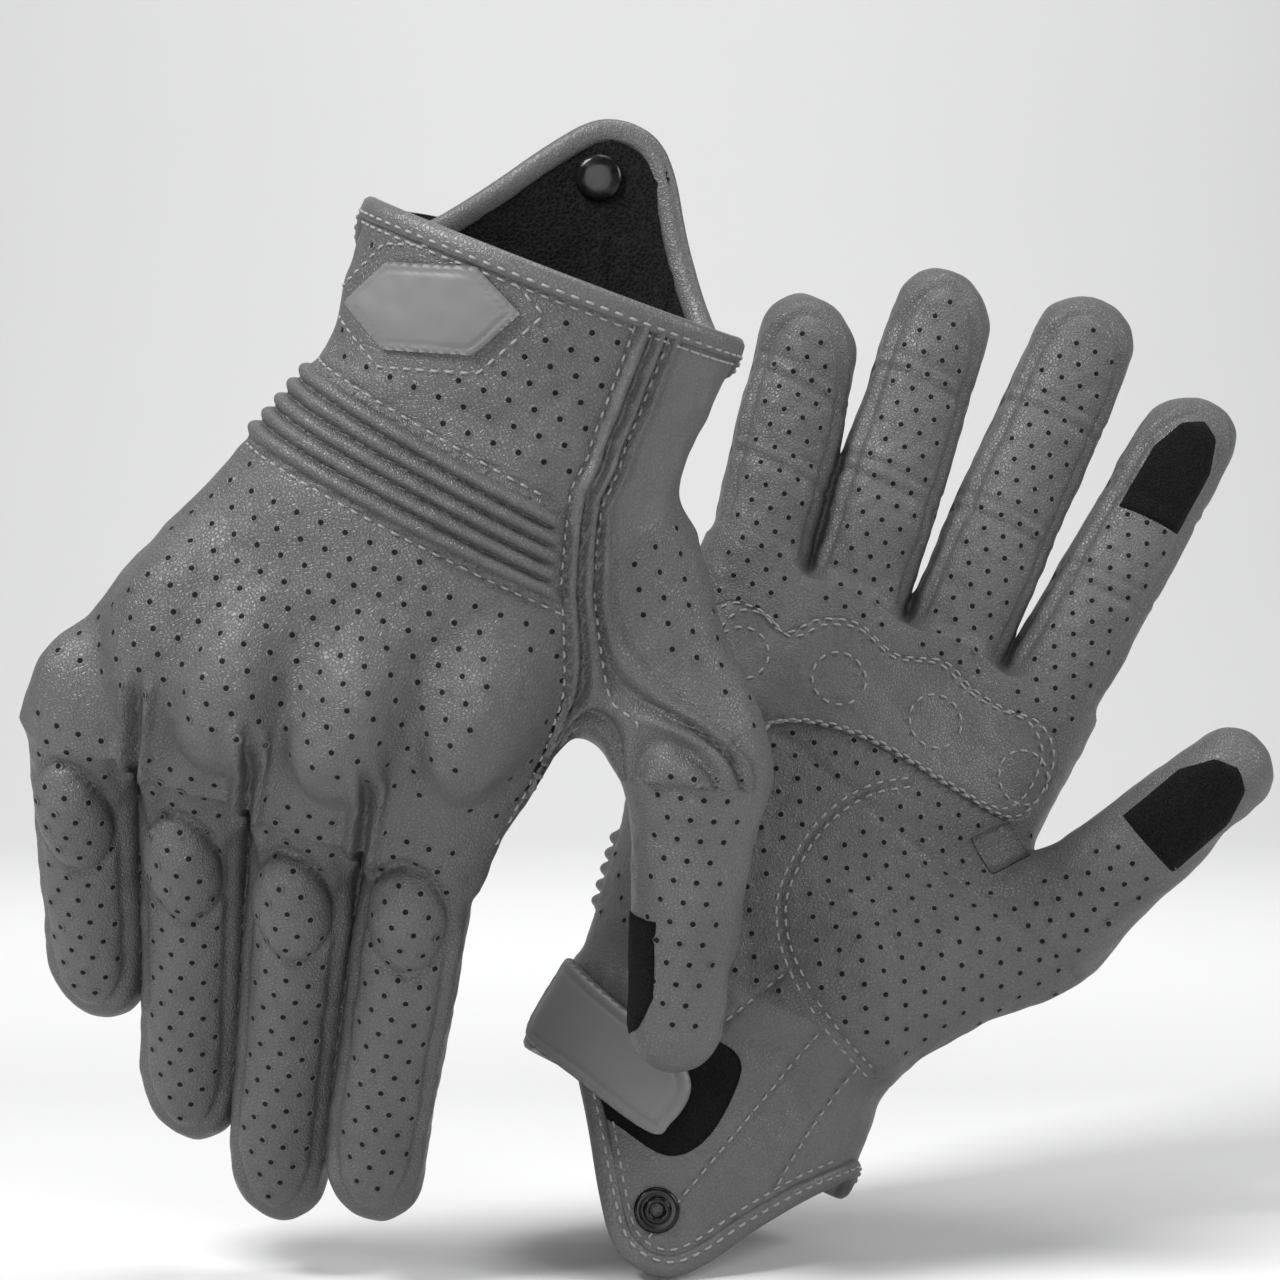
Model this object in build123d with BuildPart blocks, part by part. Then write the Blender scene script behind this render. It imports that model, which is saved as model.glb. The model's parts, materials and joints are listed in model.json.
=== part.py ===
from build123d import *
import os
from math import cos, radians, sin, tan

os.makedirs("parts", exist_ok=True)

# A pair of short leather riding gloves, both for the right hand, standing one behind the other:
# the near one with its back to the front and its fingers down, the far one with its palm to the
# front and its fingers up. Millimetres; +Z up, and the origin is the middle of the near glove's
# cuff opening, where the wearer's hand goes in.
# Each glove is laid out in its own hand frame: x towards the thumb, y out of the back of the
# hand, z towards the fingertips, with the origin at the middle of the wrist. Round the hand,
# angles run from the thumb side (0) over the back (90) and the little finger (180) to the palm
# (270).

# ---- leather, layers and gaps ------------------------------------------------------------
WALL = 1.8                # leather of the shell with its thin backing
LINING = 0.9              # knitted lining inside the cuff
FACING = 1.0              # leather reinforcement sewn on the palm
FABRIC = 0.6              # touch-screen fabric at the fingertips
LAYER_GAP = 0.2           # between layers that lie inside one another
MOVING_GAP = 0.3          # between pieces that move past each other
FINGER_GAP = 0.8          # between neighbouring fingers at their roots

# ---- the hand ----------------------------------------------------------------------------
PALM_LENGTH = 98.0        # wrist to the line where the fingers start
CUFF_LENGTH = 28.0        # wrist to the edge of the cuff on the back
CUFF_TIP = 62.0           # wrist to the point of the cuff on the palm side
FINGER_WIDTH = 24.8       # one finger across, at its root
FINGER_DEPTH = 26.0       # one finger from palm to back, at its root
FINGER_PITCH = FINGER_WIDTH + FINGER_GAP
CUFF_WIDTH = 84.0
CUFF_DEPTH = 58.0
WRIST_WIDTH = 80.0
WRIST_DEPTH = 50.0
KNUCKLE_WIDTH = 3 * FINGER_PITCH + FINGER_WIDTH + 1.5
KNUCKLE_DEPTH = 48.0
ROOT_DEPTH = FINGER_DEPTH + 2 * LAYER_GAP

# stations along the hand: distance from the wrist, width, depth, rise of the middle
HAND_STATIONS = [
    (-CUFF_TIP - 4, CUFF_WIDTH + 2, CUFF_DEPTH + 3, 0),
    (-CUFF_LENGTH, CUFF_WIDTH, CUFF_DEPTH, 0),
    (0.05 * PALM_LENGTH, WRIST_WIDTH, WRIST_DEPTH, 0),
    (0.31 * PALM_LENGTH, 0.84 * KNUCKLE_WIDTH, KNUCKLE_DEPTH - 1, 1),
    (0.66 * PALM_LENGTH, 0.98 * KNUCKLE_WIDTH, KNUCKLE_DEPTH, 2),
    (PALM_LENGTH - MOVING_GAP / 2, KNUCKLE_WIDTH, ROOT_DEPTH, 0),
]

# seams round the hand, degrees
SIDE_LOW, SIDE_HIGH = -18, 30
LITTLE_SEAM = 180

# ---- fingers: length, width and depth at the tip relative to the root ---------------------
FINGERS = ["index", "middle", "ring", "little"]
FINGER_LENGTH = {"index": 87.0, "middle": 98.0, "ring": 88.0, "little": 67.0}
FINGER_SHRINK = 0.88
THUMB_LENGTH = 64.0
THUMB_WIDTH = 30.0
THUMB_DEPTH = 28.0
THUMB_SHRINK = 0.78
MOUND_WIDTH = 58.0        # the mound under the thumb, across and through, where it leaves the palm
MOUND_DEPTH = 40.0
MOUND_TILT = 34.0         # degrees that its foot leans to the thumb side
PAD_LENGTH = 24.0         # oval foam pad on the back of each finger
PAD_WIDTH = 17.0
PAD_HEIGHT = 2.5

# ---- cuff, strap, badge and snap -----------------------------------------------------------
BINDING_WIDTH = 3.5
BINDING_ROLL = 0.5        # how far the rolled binding stands proud of the leather
STRAP_WIDTH = 20.0
STRAP_THICK = 2.2
HOOK_THICK = 0.8
LOOP_THICK = 0.8
STRAP_LOW = -31.0         # where the strap's lower edge lies, from the wrist
STRAP_SWEEP = 80          # degrees of the wrist that the closed strap covers
BADGE_LENGTH = 38.0
BADGE_HEIGHT = 18.0
BADGE_THICK = 1.6
BADGE_PLACE = (-20.0, -12.0)
BADGE_TURN = -18.0
SNAP_PLACE = (0.0, -49.0)
SNAP_FLANGE_R = 5.2
SNAP_STUD_R = 3.0
SNAP_STUD_LENGTH = 2.0
SNAP_POST_R = 1.6
SNAP_HOLLOW_R = 1.7
GEL_PAD_R = 6.4
GEL_PAD_THICK = 2.0
RIB_HEIGHT = 1.3
RIB_COUNT = 5

# ---- how each glove stands ----------------------------------------------------------------
# opening: middle of the cuff's opening, level with its back edge; up: +1 fingers up, -1 down;
# turn: tilt to the side; lean: tilt back; drift: how far the palm slumps sideways; splay and
# curl: each finger's own angles
GLOVES = {
    "near": {
        "opening": (0.0, 0.0, 0.0), "up": -1, "turn": 21.0, "lean": 6.0, "drift": -21.0,
        "splay": {"index": 10.5, "middle": 12.5, "ring": 14.5, "little": 16.5},
        "curl": {"index": 13.0, "middle": 16.0, "ring": 19.0, "little": 22.0},
        "thumb_root": (67.0, 0.0, 64.0), "thumb_splay": 16.0, "thumb_dip": 0.0,
    },
    "far": {
        "opening": (28.0, 78.0, -194.5), "up": 1, "turn": 25.8, "lean": 10.0, "drift": -3.0,
        "splay": {"index": 4.0, "middle": -1.5, "ring": -8.0, "little": -12.0},
        "curl": {"index": 3.0, "middle": 3.0, "ring": 3.0, "little": 4.0},
        "thumb_root": (58.0, -13.0, 53.0), "thumb_splay": 23.0, "thumb_dip": 18.0,
    },
}


def hand_plane(glove):
    """The glove's hand frame in the shared frame."""
    turn, lean = radians(glove["turn"]), radians(glove["lean"])
    reach = (glove["up"] * sin(turn) * cos(lean), sin(lean), glove["up"] * cos(turn) * cos(lean))
    wrist = Vector(*glove["opening"]) + Vector(*reach) * CUFF_LENGTH
    return Plane(origin=wrist, x_dir=(cos(turn), 0, -sin(turn)), z_dir=reach)


def hand_section(glove, along):
    """Middle and half sizes of the hand's oval at one distance from the wrist."""
    rows = HAND_STATIONS
    low = max(i for i in range(len(rows) - 1) if rows[i][0] <= along or i == 0)
    share = (along - rows[low][0]) / (rows[low + 1][0] - rows[low][0])
    width, depth, rise = [a + share * (b - a) for a, b in zip(rows[low][1:], rows[low + 1][1:])]
    drift = glove["drift"] * max(0.0, along - HAND_STATIONS[2][0]) / (PALM_LENGTH - HAND_STATIONS[2][0])
    return (drift, rise), width / 2, depth / 2


def stations_between(start, end):
    """The hand's stations from start to end, both included."""
    return [start] + [row[0] for row in HAND_STATIONS if start < row[0] < end] + [end]


def oval_strip(plane, middle, half_width, half_depth, wall, start, end):
    """One cross-section of a leather panel: a strip of an oval ring from start to end degrees."""
    with BuildSketch(plane) as section:
        with BuildLine():
            outer = EllipticalCenterArc(middle, half_width, half_depth, start, arc_size=end - start)
            inner = EllipticalCenterArc(middle, half_width - wall, half_depth - wall, start,
                                        arc_size=end - start)
            Line(outer @ 0, inner @ 0)
            Line(outer @ 1, inner @ 1)
        make_face()
    return section.sketch


def hand_strip(glove, low, high, start, end, wall=WALL, outset=0.0):
    """Add a panel that follows the hand from low to high along it and from start to end round it."""
    plane = hand_plane(glove)
    sections = []
    for along in stations_between(low, high):
        middle, half_width, half_depth = hand_section(glove, along)
        sections.append(oval_strip(plane.offset(along), middle, half_width + outset,
                                   half_depth + outset, wall, start, end))
    loft(sections=sections, ruled=True)


def hand_solid(glove, low, high, outset=0.0):
    """The whole hand as one plain body, used to trim what stands on it."""
    plane = hand_plane(glove)
    with BuildPart() as body:
        for along in stations_between(low, high):
            middle, half_width, half_depth = hand_section(glove, along)
            with BuildSketch(plane.offset(along)):
                with Locations(middle):
                    Ellipse(half_width + outset, half_depth + outset)
        loft(ruled=True)
    return body.part


def outline_cutter(glove, corners, palm):
    """A prism over an outline drawn on the hand (x, z), reaching to the palm or to the back."""
    plane = hand_plane(glove)
    flat = Plane(origin=plane.origin, x_dir=plane.x_dir, z_dir=-plane.y_dir)
    with BuildPart() as cutter:
        with BuildSketch(flat):
            with BuildLine():
                Polyline(*corners, close=True)
            make_face()
        extrude(amount=CUFF_DEPTH if palm else -CUFF_DEPTH)
    return cutter.part


def finish(piece, glove_name, name):
    """Label one piece and write it out."""
    piece.part.label = f"{glove_name}_{name}"
    export_step(piece.part, f"parts/{piece.part.label}.step")


# ---- outlines drawn on the hand -------------------------------------------------------------
def cuff_outline(inset):
    """The palm side of the cuff: a point that carries the snap, hollow on both flanks."""
    side, tip = CUFF_WIDTH / 2 + 8, CUFF_TIP - inset
    return [(-side, 10), (-side, -18 + inset), (-31 + inset, -25 + inset), (-16 + inset, -46 + inset / 2),
            (-5 + inset / 2, -tip + 3), (1, -tip), (9, -tip), (15 - inset / 2, -tip + 4),
            (22 - inset, -43 + inset / 2), (31 - inset, -31 + inset), (side, -19 + inset), (side, 10)]


def badge_outline():
    """A long flat-topped hexagon, turned a little on the cuff."""
    half, rise, flat = BADGE_LENGTH / 2, BADGE_HEIGHT / 2, BADGE_LENGTH / 4
    turn = radians(BADGE_TURN)
    corners = [(-half, 0), (-flat, rise), (flat, rise), (half, 0), (flat, -rise), (-flat, -rise)]
    return [(BADGE_PLACE[0] + x * cos(turn) - y * sin(turn),
             BADGE_PLACE[1] + x * sin(turn) + y * cos(turn)) for x, y in corners]


def patch_outline(drift):
    """The palm reinforcement under the finger roots, with a scalloped upper edge."""
    top, low, half = PALM_LENGTH - 4, PALM_LENGTH - 34, 0.42 * KNUCKLE_WIDTH
    pitch = FINGER_PITCH
    corners = [(-half, low + 2), (-half, top - 8), (-1.5 * pitch, top - 4), (-pitch, top - 9),
               (-0.4 * pitch, top), (0.4 * pitch, top), (pitch, top - 1), (half, top - 6),
               (half, low + 8), (0.6 * pitch, low + 6), (-0.4 * pitch, low + 8)]
    return [(x + drift * z / PALM_LENGTH, z) for x, z in corners]


# ---- pieces that follow the hand --------------------------------------------------------------
def make_hand(name, glove):
    plane = hand_plane(glove)
    wrist = HAND_STATIONS[2][0]
    flex_low, flex_high = 9.0, 32.0
    root = HAND_STATIONS[-1][0]
    drift = glove["drift"]
    thumb_shell, thumb_hollow = thumb_mound(glove, 0.0), thumb_mound(glove, WALL)

    with BuildPart() as back_panel:
        hand_strip(glove, flex_high, root, SIDE_HIGH, LITTLE_SEAM)
    finish(back_panel, name, "back_panel")

    with BuildPart() as knuckle_guard:
        hand_strip(glove, 0.58 * PALM_LENGTH, 0.90 * PALM_LENGTH, 42, 150, LINING,
                   -WALL - LAYER_GAP)
    finish(knuckle_guard, name, "knuckle_guard")

    with BuildPart() as flex_panel:
        hand_strip(glove, flex_low, flex_high, SIDE_HIGH, LITTLE_SEAM)
        pitch = (flex_high - flex_low) / RIB_COUNT
        for rib in range(RIB_COUNT):
            low = flex_low + (rib + 0.25) * pitch
            hand_strip(glove, low, low + pitch / 2, SIDE_HIGH + 2, LITTLE_SEAM - 6,
                       RIB_HEIGHT + WALL / 2, RIB_HEIGHT)
    finish(flex_panel, name, "flex_panel")

    with BuildPart() as cuff_back:
        hand_strip(glove, -CUFF_LENGTH + BINDING_WIDTH, flex_low, SIDE_HIGH, LITTLE_SEAM)
    finish(cuff_back, name, "cuff_back")

    with BuildPart() as badge:
        hand_strip(glove, -CUFF_LENGTH + BINDING_WIDTH, flex_low, 60, 170, BADGE_THICK, BADGE_THICK)
        add(outline_cutter(glove, badge_outline(), False), mode=Mode.INTERSECT)
    finish(badge, name, "badge")

    with BuildPart() as side_panel:
        hand_strip(glove, -CUFF_LENGTH + BINDING_WIDTH, root, SIDE_LOW, SIDE_HIGH)
        for seam in (SIDE_LOW + 30, SIDE_LOW + 37, SIDE_LOW + 44):
            hand_strip(glove, -CUFF_LENGTH + BINDING_WIDTH, 0.7 * PALM_LENGTH, seam, seam + 3,
                       RIB_HEIGHT + WALL / 2, RIB_HEIGHT)
        add(thumb_hollow, mode=Mode.SUBTRACT)
    finish(side_panel, name, "side_panel")

    with BuildPart() as palm_panel:
        hand_strip(glove, wrist, root, LITTLE_SEAM, 360 + SIDE_LOW)
        add(thumb_hollow, mode=Mode.SUBTRACT)
    finish(palm_panel, name, "palm_panel")

    with BuildPart() as palm_patch:
        hand_strip(glove, PALM_LENGTH - 40, root, LITTLE_SEAM + 6, 360 + SIDE_LOW - 4, FACING, FACING)
        add(outline_cutter(glove, patch_outline(drift), True), mode=Mode.INTERSECT)
        add(thumb_shell, mode=Mode.SUBTRACT)
    finish(palm_patch, name, "palm_patch")

    with BuildPart() as palm_pads:
        hand_strip(glove, PALM_LENGTH - 40, root, LITTLE_SEAM, 360 + SIDE_LOW, GEL_PAD_THICK,
                   -WALL - LAYER_GAP)
        flat = Plane(origin=plane.origin, x_dir=plane.x_dir, z_dir=-plane.y_dir)
        with BuildPart(flat, mode=Mode.PRIVATE) as discs:
            for step in (-1.4, -0.5, 0.5, 1.4):
                place = (step * FINGER_PITCH + drift * 0.8, PALM_LENGTH - 20)
                with Locations(place):
                    Cylinder(GEL_PAD_R, CUFF_DEPTH, align=(Align.CENTER, Align.CENTER, Align.MIN))
        add(discs.part, mode=Mode.INTERSECT)
    finish(palm_pads, name, "palm_pads")

    with BuildPart() as web_gusset:
        hand_strip(glove, PALM_LENGTH - 44, root, LITTLE_SEAM, 360 + SIDE_LOW, FACING, FACING)
        x, z = 0.40 * KNUCKLE_WIDTH + 0.6 * drift, PALM_LENGTH - 35
        kite = [(x - 8, z - 1), (x - 2, z + 5), (x + 5, z + 1), (x - 1, z - 6)]
        add(outline_cutter(glove, kite, True), mode=Mode.INTERSECT)
        add(thumb_shell, mode=Mode.SUBTRACT)
    finish(web_gusset, name, "web_gusset")

    with BuildPart() as thumb_base:
        add(thumb_shell)
        add(thumb_hollow, mode=Mode.SUBTRACT)
        add(hand_solid(glove, -CUFF_LENGTH, root, RIB_HEIGHT + LAYER_GAP), mode=Mode.SUBTRACT)
    finish(thumb_base, name, "thumb_base")

    make_cuff(name, glove)


def make_cuff(name, glove):
    wrist = HAND_STATIONS[2][0]
    below = HAND_STATIONS[0][0]
    plane = hand_plane(glove)
    edge, inner_edge = cuff_outline(0), cuff_outline(BINDING_WIDTH)
    around = (LITTLE_SEAM, 360 + SIDE_LOW)

    # the snap's seat: on the palm, square to it, a hair clear of the curved leather
    depth = hand_section(glove, SNAP_PLACE[1])[2]
    seat = Plane(origin=plane.from_local_coords((SNAP_PLACE[0], -depth, SNAP_PLACE[1])),
                 x_dir=plane.x_dir, z_dir=-plane.y_dir)
    with BuildPart() as post_hole:
        with BuildSketch(seat.offset(-CUFF_DEPTH / 4)):
            Circle(SNAP_POST_R + LAYER_GAP)
        extrude(amount=CUFF_DEPTH / 2)

    with BuildPart() as cuff_palm:
        hand_strip(glove, below, wrist, *around)
        add(outline_cutter(glove, inner_edge, True), mode=Mode.INTERSECT)
        add(post_hole.part, mode=Mode.SUBTRACT)
    finish(cuff_palm, name, "cuff_palm")

    with BuildPart() as binding:
        hand_strip(glove, below, -12, *around, WALL + 2 * BINDING_ROLL, BINDING_ROLL)
        add(outline_cutter(glove, edge, True), mode=Mode.INTERSECT)
        add(outline_cutter(glove, inner_edge, True), mode=Mode.SUBTRACT)
        hand_strip(glove, -CUFF_LENGTH, -CUFF_LENGTH + BINDING_WIDTH, SIDE_LOW, LITTLE_SEAM,
                   WALL + 2 * BINDING_ROLL, BINDING_ROLL)
    finish(binding, name, "cuff_binding")

    inset = -WALL - BINDING_ROLL - LAYER_GAP
    with BuildPart() as lining:
        hand_strip(glove, below, wrist, *around, LINING, inset)
        add(outline_cutter(glove, inner_edge, True), mode=Mode.INTERSECT)
        add(post_hole.part, mode=Mode.SUBTRACT)
        hand_strip(glove, -CUFF_LENGTH + BINDING_WIDTH, wrist, SIDE_LOW, LITTLE_SEAM, LINING, inset)
    finish(lining, name, "cuff_lining")

    strap_high = STRAP_LOW + STRAP_WIDTH
    strap_start = LITTLE_SEAM + 4
    with BuildPart() as loop_patch:
        hand_strip(glove, STRAP_LOW - 1, strap_high + 1, strap_start + 32, strap_start + STRAP_SWEEP + 6,
                   LOOP_THICK, LOOP_THICK)
        add(outline_cutter(glove, inner_edge, True), mode=Mode.INTERSECT)
    finish(loop_patch, name, "loop_patch")

    hook_face = LOOP_THICK + MOVING_GAP + HOOK_THICK
    with BuildPart() as strap_hook:
        hand_strip(glove, STRAP_LOW + 2, strap_high - 2, strap_start + 38, strap_start + STRAP_SWEEP - 3,
                   HOOK_THICK, hook_face)
    finish(strap_hook, name, "strap_hook")

    with BuildPart() as closure_strap:
        hand_strip(glove, STRAP_LOW, strap_high, strap_start, strap_start + STRAP_SWEEP,
                   STRAP_THICK, hook_face + STRAP_THICK)
    finish(closure_strap, name, "closure_strap")

    flange_face = 2 * LAYER_GAP
    lining_face = -(WALL + BINDING_ROLL + LINING + 4 * LAYER_GAP)
    with BuildPart() as snap:
        with BuildSketch(seat.offset(flange_face)):
            Circle(SNAP_FLANGE_R)
        extrude(amount=1.0)
        with BuildSketch(seat.offset(flange_face + 1.0)):
            Circle(SNAP_STUD_R)
            Circle(SNAP_HOLLOW_R, mode=Mode.SUBTRACT)
        extrude(amount=SNAP_STUD_LENGTH)
        with BuildSketch(seat.offset(lining_face)):
            Circle(SNAP_POST_R)
        extrude(amount=flange_face - lining_face)
        with BuildSketch(seat.offset(lining_face)):
            Circle(SNAP_FLANGE_R)
        extrude(amount=-1.2)
    finish(snap, name, "snap_fastener")


# ---- fingers and thumb ----------------------------------------------------------------------
def tube_section(length, root_width, root_depth, shrink, along):
    """Half sizes of a finger's oval: it narrows evenly, then rounds off over the tip."""
    share = along / length
    scale = 1 - (1 - shrink) * share
    half_width, half_depth = root_width / 2 * scale, root_depth / 2 * scale
    dome = length - root_depth / 2 * shrink
    if along > dome:
        closing = (1 - ((along - dome) / (length - dome)) ** 2) ** 0.5
        half_width, half_depth = half_width * closing, half_depth * closing
    return half_width, half_depth, root_depth / 2 * scale


def tube(plane, length, width, depth, shrink, slant, wall, start):
    """A finger as one plain body, less wall all round, from start to its tip."""
    dome = length - depth / 2 * shrink
    tip = length - wall
    reach = [start, dome / 2, dome] + [dome + (tip - dome) * k for k in (0.5, 0.8, 0.97)]
    with BuildPart() as body:
        for along in reach:
            half_width, half_depth, rise = tube_section(length, width, depth, shrink,
                                                        min(along * length / tip, length))
            trim = wall if along <= dome else wall / 2
            with BuildSketch(plane.offset(along)):
                with Locations((along * tan(slant), rise)):
                    Ellipse(half_width - trim, half_depth - trim)
        loft(ruled=True)
    return body.part


def make_digit(name, digit, plane, length, width, depth, shrink, slant, pad):
    """Back and palm halves of one finger, split along its sides."""
    outer = tube(plane, length, width, depth, shrink, slant, 0.0, MOVING_GAP / 2)
    hollow = tube(plane, length, width, depth, shrink, slant, WALL, 0.0)
    tip_rise = tube_section(length, width, depth, shrink, length)[2]
    rise = depth / 2
    slope = (tip_rise - rise) / length
    middle = plane.from_local_coords((0, rise, 0))
    ahead = plane.z_dir + plane.y_dir * slope
    seam = Plane(origin=middle, x_dir=plane.x_dir, z_dir=ahead.cross(plane.x_dir))

    with BuildPart() as back:
        add(outer)
        if pad:
            pad_at = 0.75 * PAD_LENGTH
            crown = 2 * tube_section(length, width, depth, shrink, pad_at)[1] + MOVING_GAP
            foot = plane.from_local_coords((pad_at * tan(slant), crown - PAD_HEIGHT, pad_at))
            with BuildSketch(Plane(origin=foot, x_dir=plane.x_dir, z_dir=plane.y_dir)):
                Ellipse(PAD_WIDTH / 2, PAD_LENGTH / 2)
            extrude(amount=2 * PAD_HEIGHT)
        add(hollow, mode=Mode.SUBTRACT)
        split(bisect_by=seam, keep=Keep.TOP)
    finish(back, name, f"{digit}_back")

    with BuildPart() as front:
        add(outer)
        add(hollow, mode=Mode.SUBTRACT)
        split(bisect_by=seam, keep=Keep.BOTTOM)
    finish(front, name, f"{digit}_front")


def make_touch_patch(name, digit, plane, length, width, depth, shrink, slant, low, high):
    """A fabric patch that hugs the palm side of a fingertip."""
    with BuildPart() as patch:
        sections = []
        for along in (low, high):
            half_width, half_depth, rise = tube_section(length, width, depth, shrink, along)
            sections.append(oval_strip(plane.offset(along), (along * tan(slant), rise),
                                       half_width + FABRIC, half_depth + FABRIC, FABRIC, 205, 335))
        loft(sections=sections, ruled=True)
    finish(patch, name, f"{digit}_touch_patch")


def finger_plane(glove, finger):
    """A finger's own frame: its origin on the crease where it folds, on the palm side."""
    plane = hand_plane(glove)
    curl = radians(glove["curl"][finger])
    across = (1.5 - FINGERS.index(finger)) * FINGER_PITCH + glove["drift"]
    crease = plane.from_local_coords((across, -FINGER_DEPTH / 2, PALM_LENGTH))
    return Plane(origin=crease, x_dir=plane.x_dir,
                 z_dir=plane.z_dir * cos(curl) - plane.y_dir * sin(curl))


def thumb_plane(glove):
    """The thumb's own frame: its origin at the palm side of the ring where it folds."""
    plane = hand_plane(glove)
    splay, dip = radians(glove["thumb_splay"]), radians(glove["thumb_dip"])
    out = plane.x_dir * sin(splay) + plane.z_dir * cos(splay)
    reach = out * cos(dip) - plane.y_dir * sin(dip)
    side = plane.x_dir * cos(splay) - plane.z_dir * sin(splay)
    up = reach.cross(side)
    root = plane.from_local_coords(glove["thumb_root"]) - up * (THUMB_DEPTH / 2)
    return Plane(origin=root, x_dir=side, z_dir=reach)


def thumb_mound(glove, wall):
    """The mound that carries the thumb, from inside the palm out to the thumb's root."""
    plane, thumb = hand_plane(glove), thumb_plane(glove)
    root = Vector(*glove["thumb_root"])
    foot = (root.X - 40, root.Y * 0.5 - 8, root.Z - 28)
    tilt = radians(MOUND_TILT)
    inside = Plane(origin=plane.from_local_coords(foot),
                   x_dir=plane.x_dir * cos(tilt) - plane.z_dir * sin(tilt),
                   z_dir=plane.x_dir * sin(tilt) + plane.z_dir * cos(tilt))
    with BuildPart() as mound:
        with BuildSketch(inside):
            Ellipse(MOUND_WIDTH / 2 - wall, MOUND_DEPTH / 2 - wall)
        with BuildSketch(thumb.offset(-MOVING_GAP / 2 + (MOVING_GAP if wall else 0))):
            with Locations((0, THUMB_DEPTH / 2)):
                Ellipse(THUMB_WIDTH / 2 - wall, THUMB_DEPTH / 2 - wall)
        loft(ruled=True)
    return mound.part


for glove_name, glove_pose in GLOVES.items():
    make_hand(glove_name, glove_pose)
    for finger_name in FINGERS:
        place = finger_plane(glove_pose, finger_name)
        long, slant = FINGER_LENGTH[finger_name], radians(glove_pose["splay"][finger_name])
        size = (long, FINGER_WIDTH, FINGER_DEPTH, FINGER_SHRINK, slant)
        make_digit(glove_name, finger_name, place, *size, True)
        if finger_name == "index":
            make_touch_patch(glove_name, finger_name, place, *size, long - 36, long - 12)
    place = thumb_plane(glove_pose)
    size = (THUMB_LENGTH, THUMB_WIDTH, THUMB_DEPTH, THUMB_SHRINK, 0.0)
    make_digit(glove_name, "thumb", place, *size, False)
    make_touch_patch(glove_name, "thumb", place, *size, THUMB_LENGTH - 34, THUMB_LENGTH - 12)
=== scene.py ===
"""A pair of perforated leather riding gloves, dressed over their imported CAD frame."""
import math

import bpy
import numpy as np
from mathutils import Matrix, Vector, noise
from mathutils.bvhtree import BVHTree
from mathutils.geometry import delaunay_2d_cdt
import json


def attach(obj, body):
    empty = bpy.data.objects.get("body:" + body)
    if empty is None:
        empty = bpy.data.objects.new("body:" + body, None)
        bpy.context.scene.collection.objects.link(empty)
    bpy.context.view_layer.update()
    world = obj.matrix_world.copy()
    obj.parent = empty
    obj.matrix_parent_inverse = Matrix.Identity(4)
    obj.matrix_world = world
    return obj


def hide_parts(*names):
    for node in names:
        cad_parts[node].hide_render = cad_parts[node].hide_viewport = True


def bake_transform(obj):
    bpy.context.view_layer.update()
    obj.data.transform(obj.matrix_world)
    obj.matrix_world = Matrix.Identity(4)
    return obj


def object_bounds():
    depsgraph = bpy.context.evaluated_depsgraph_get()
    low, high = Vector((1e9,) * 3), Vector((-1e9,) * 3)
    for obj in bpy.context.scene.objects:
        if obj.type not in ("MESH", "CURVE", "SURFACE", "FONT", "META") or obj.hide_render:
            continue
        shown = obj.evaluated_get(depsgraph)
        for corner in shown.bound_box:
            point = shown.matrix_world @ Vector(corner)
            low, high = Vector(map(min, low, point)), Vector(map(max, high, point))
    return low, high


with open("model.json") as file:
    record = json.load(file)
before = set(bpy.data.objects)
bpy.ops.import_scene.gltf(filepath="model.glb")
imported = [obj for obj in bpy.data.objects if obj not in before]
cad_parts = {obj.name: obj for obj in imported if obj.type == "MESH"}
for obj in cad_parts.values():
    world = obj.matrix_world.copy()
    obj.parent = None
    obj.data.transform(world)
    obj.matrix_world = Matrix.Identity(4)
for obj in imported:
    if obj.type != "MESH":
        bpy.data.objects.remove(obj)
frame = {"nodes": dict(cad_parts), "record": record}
cad_low, cad_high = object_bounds()
DEG = math.pi / 180

# ---- Camera, stage and light ---------------------------------------------------------------
# The gloves stand in front of a seamless pale backdrop and are seen square on, from barely above
# their middle.
view_distance, view_rise, view_width, sensor_width = 0.650, 1.5 * DEG, 0.2700, 36.0
aim = Vector((0.0175, 0.0, -0.0780))
camera_data = bpy.data.cameras.new("camera")
camera_data.sensor_width = sensor_width
camera_data.lens = sensor_width * view_distance / view_width
camera_data.clip_end = 20
camera = bpy.data.objects.new("camera", camera_data)
camera.location = aim + Vector((0, -view_distance * math.cos(view_rise), view_distance * math.sin(view_rise)))
camera.rotation_euler = (math.pi / 2 - view_rise, 0, 0)
bpy.context.collection.objects.link(camera)
bpy.context.scene.camera = camera

# the backdrop: flat floor, a wide curve, then a wall, all one sheet
sweep = [(-2.2, 0.0)] + [(1.1 + 0.9 * math.sin(a * DEG), 0.9 - 0.9 * math.cos(a * DEG)) for a in range(0, 91, 5)]
sweep += [(2.0, 3.2)]
sheet_mesh = bpy.data.meshes.new("backdrop")
sheet_mesh.from_pydata([(side * 4.0, y, cad_low.z + z) for y, z in sweep for side in (-1, 1)], [],
                       [(2 * k, 2 * k + 1, 2 * k + 3, 2 * k + 2) for k in range(len(sweep) - 1)])
sheet_mesh.polygons.foreach_set("use_smooth", [True] * len(sheet_mesh.polygons))
backdrop = bpy.data.objects.new("backdrop", sheet_mesh)
bpy.context.collection.objects.link(backdrop)


def area_light(name, place, target, size, power):
    """A square soft box."""
    data = bpy.data.lights.new(name, "AREA")
    data.size, data.energy = size, power
    lamp = bpy.data.objects.new(name, data)
    lamp.location = Vector(place)
    lamp.rotation_euler = (Vector(target) - lamp.location).to_track_quat("-Z", "Y").to_euler()
    bpy.context.collection.objects.link(lamp)


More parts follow.
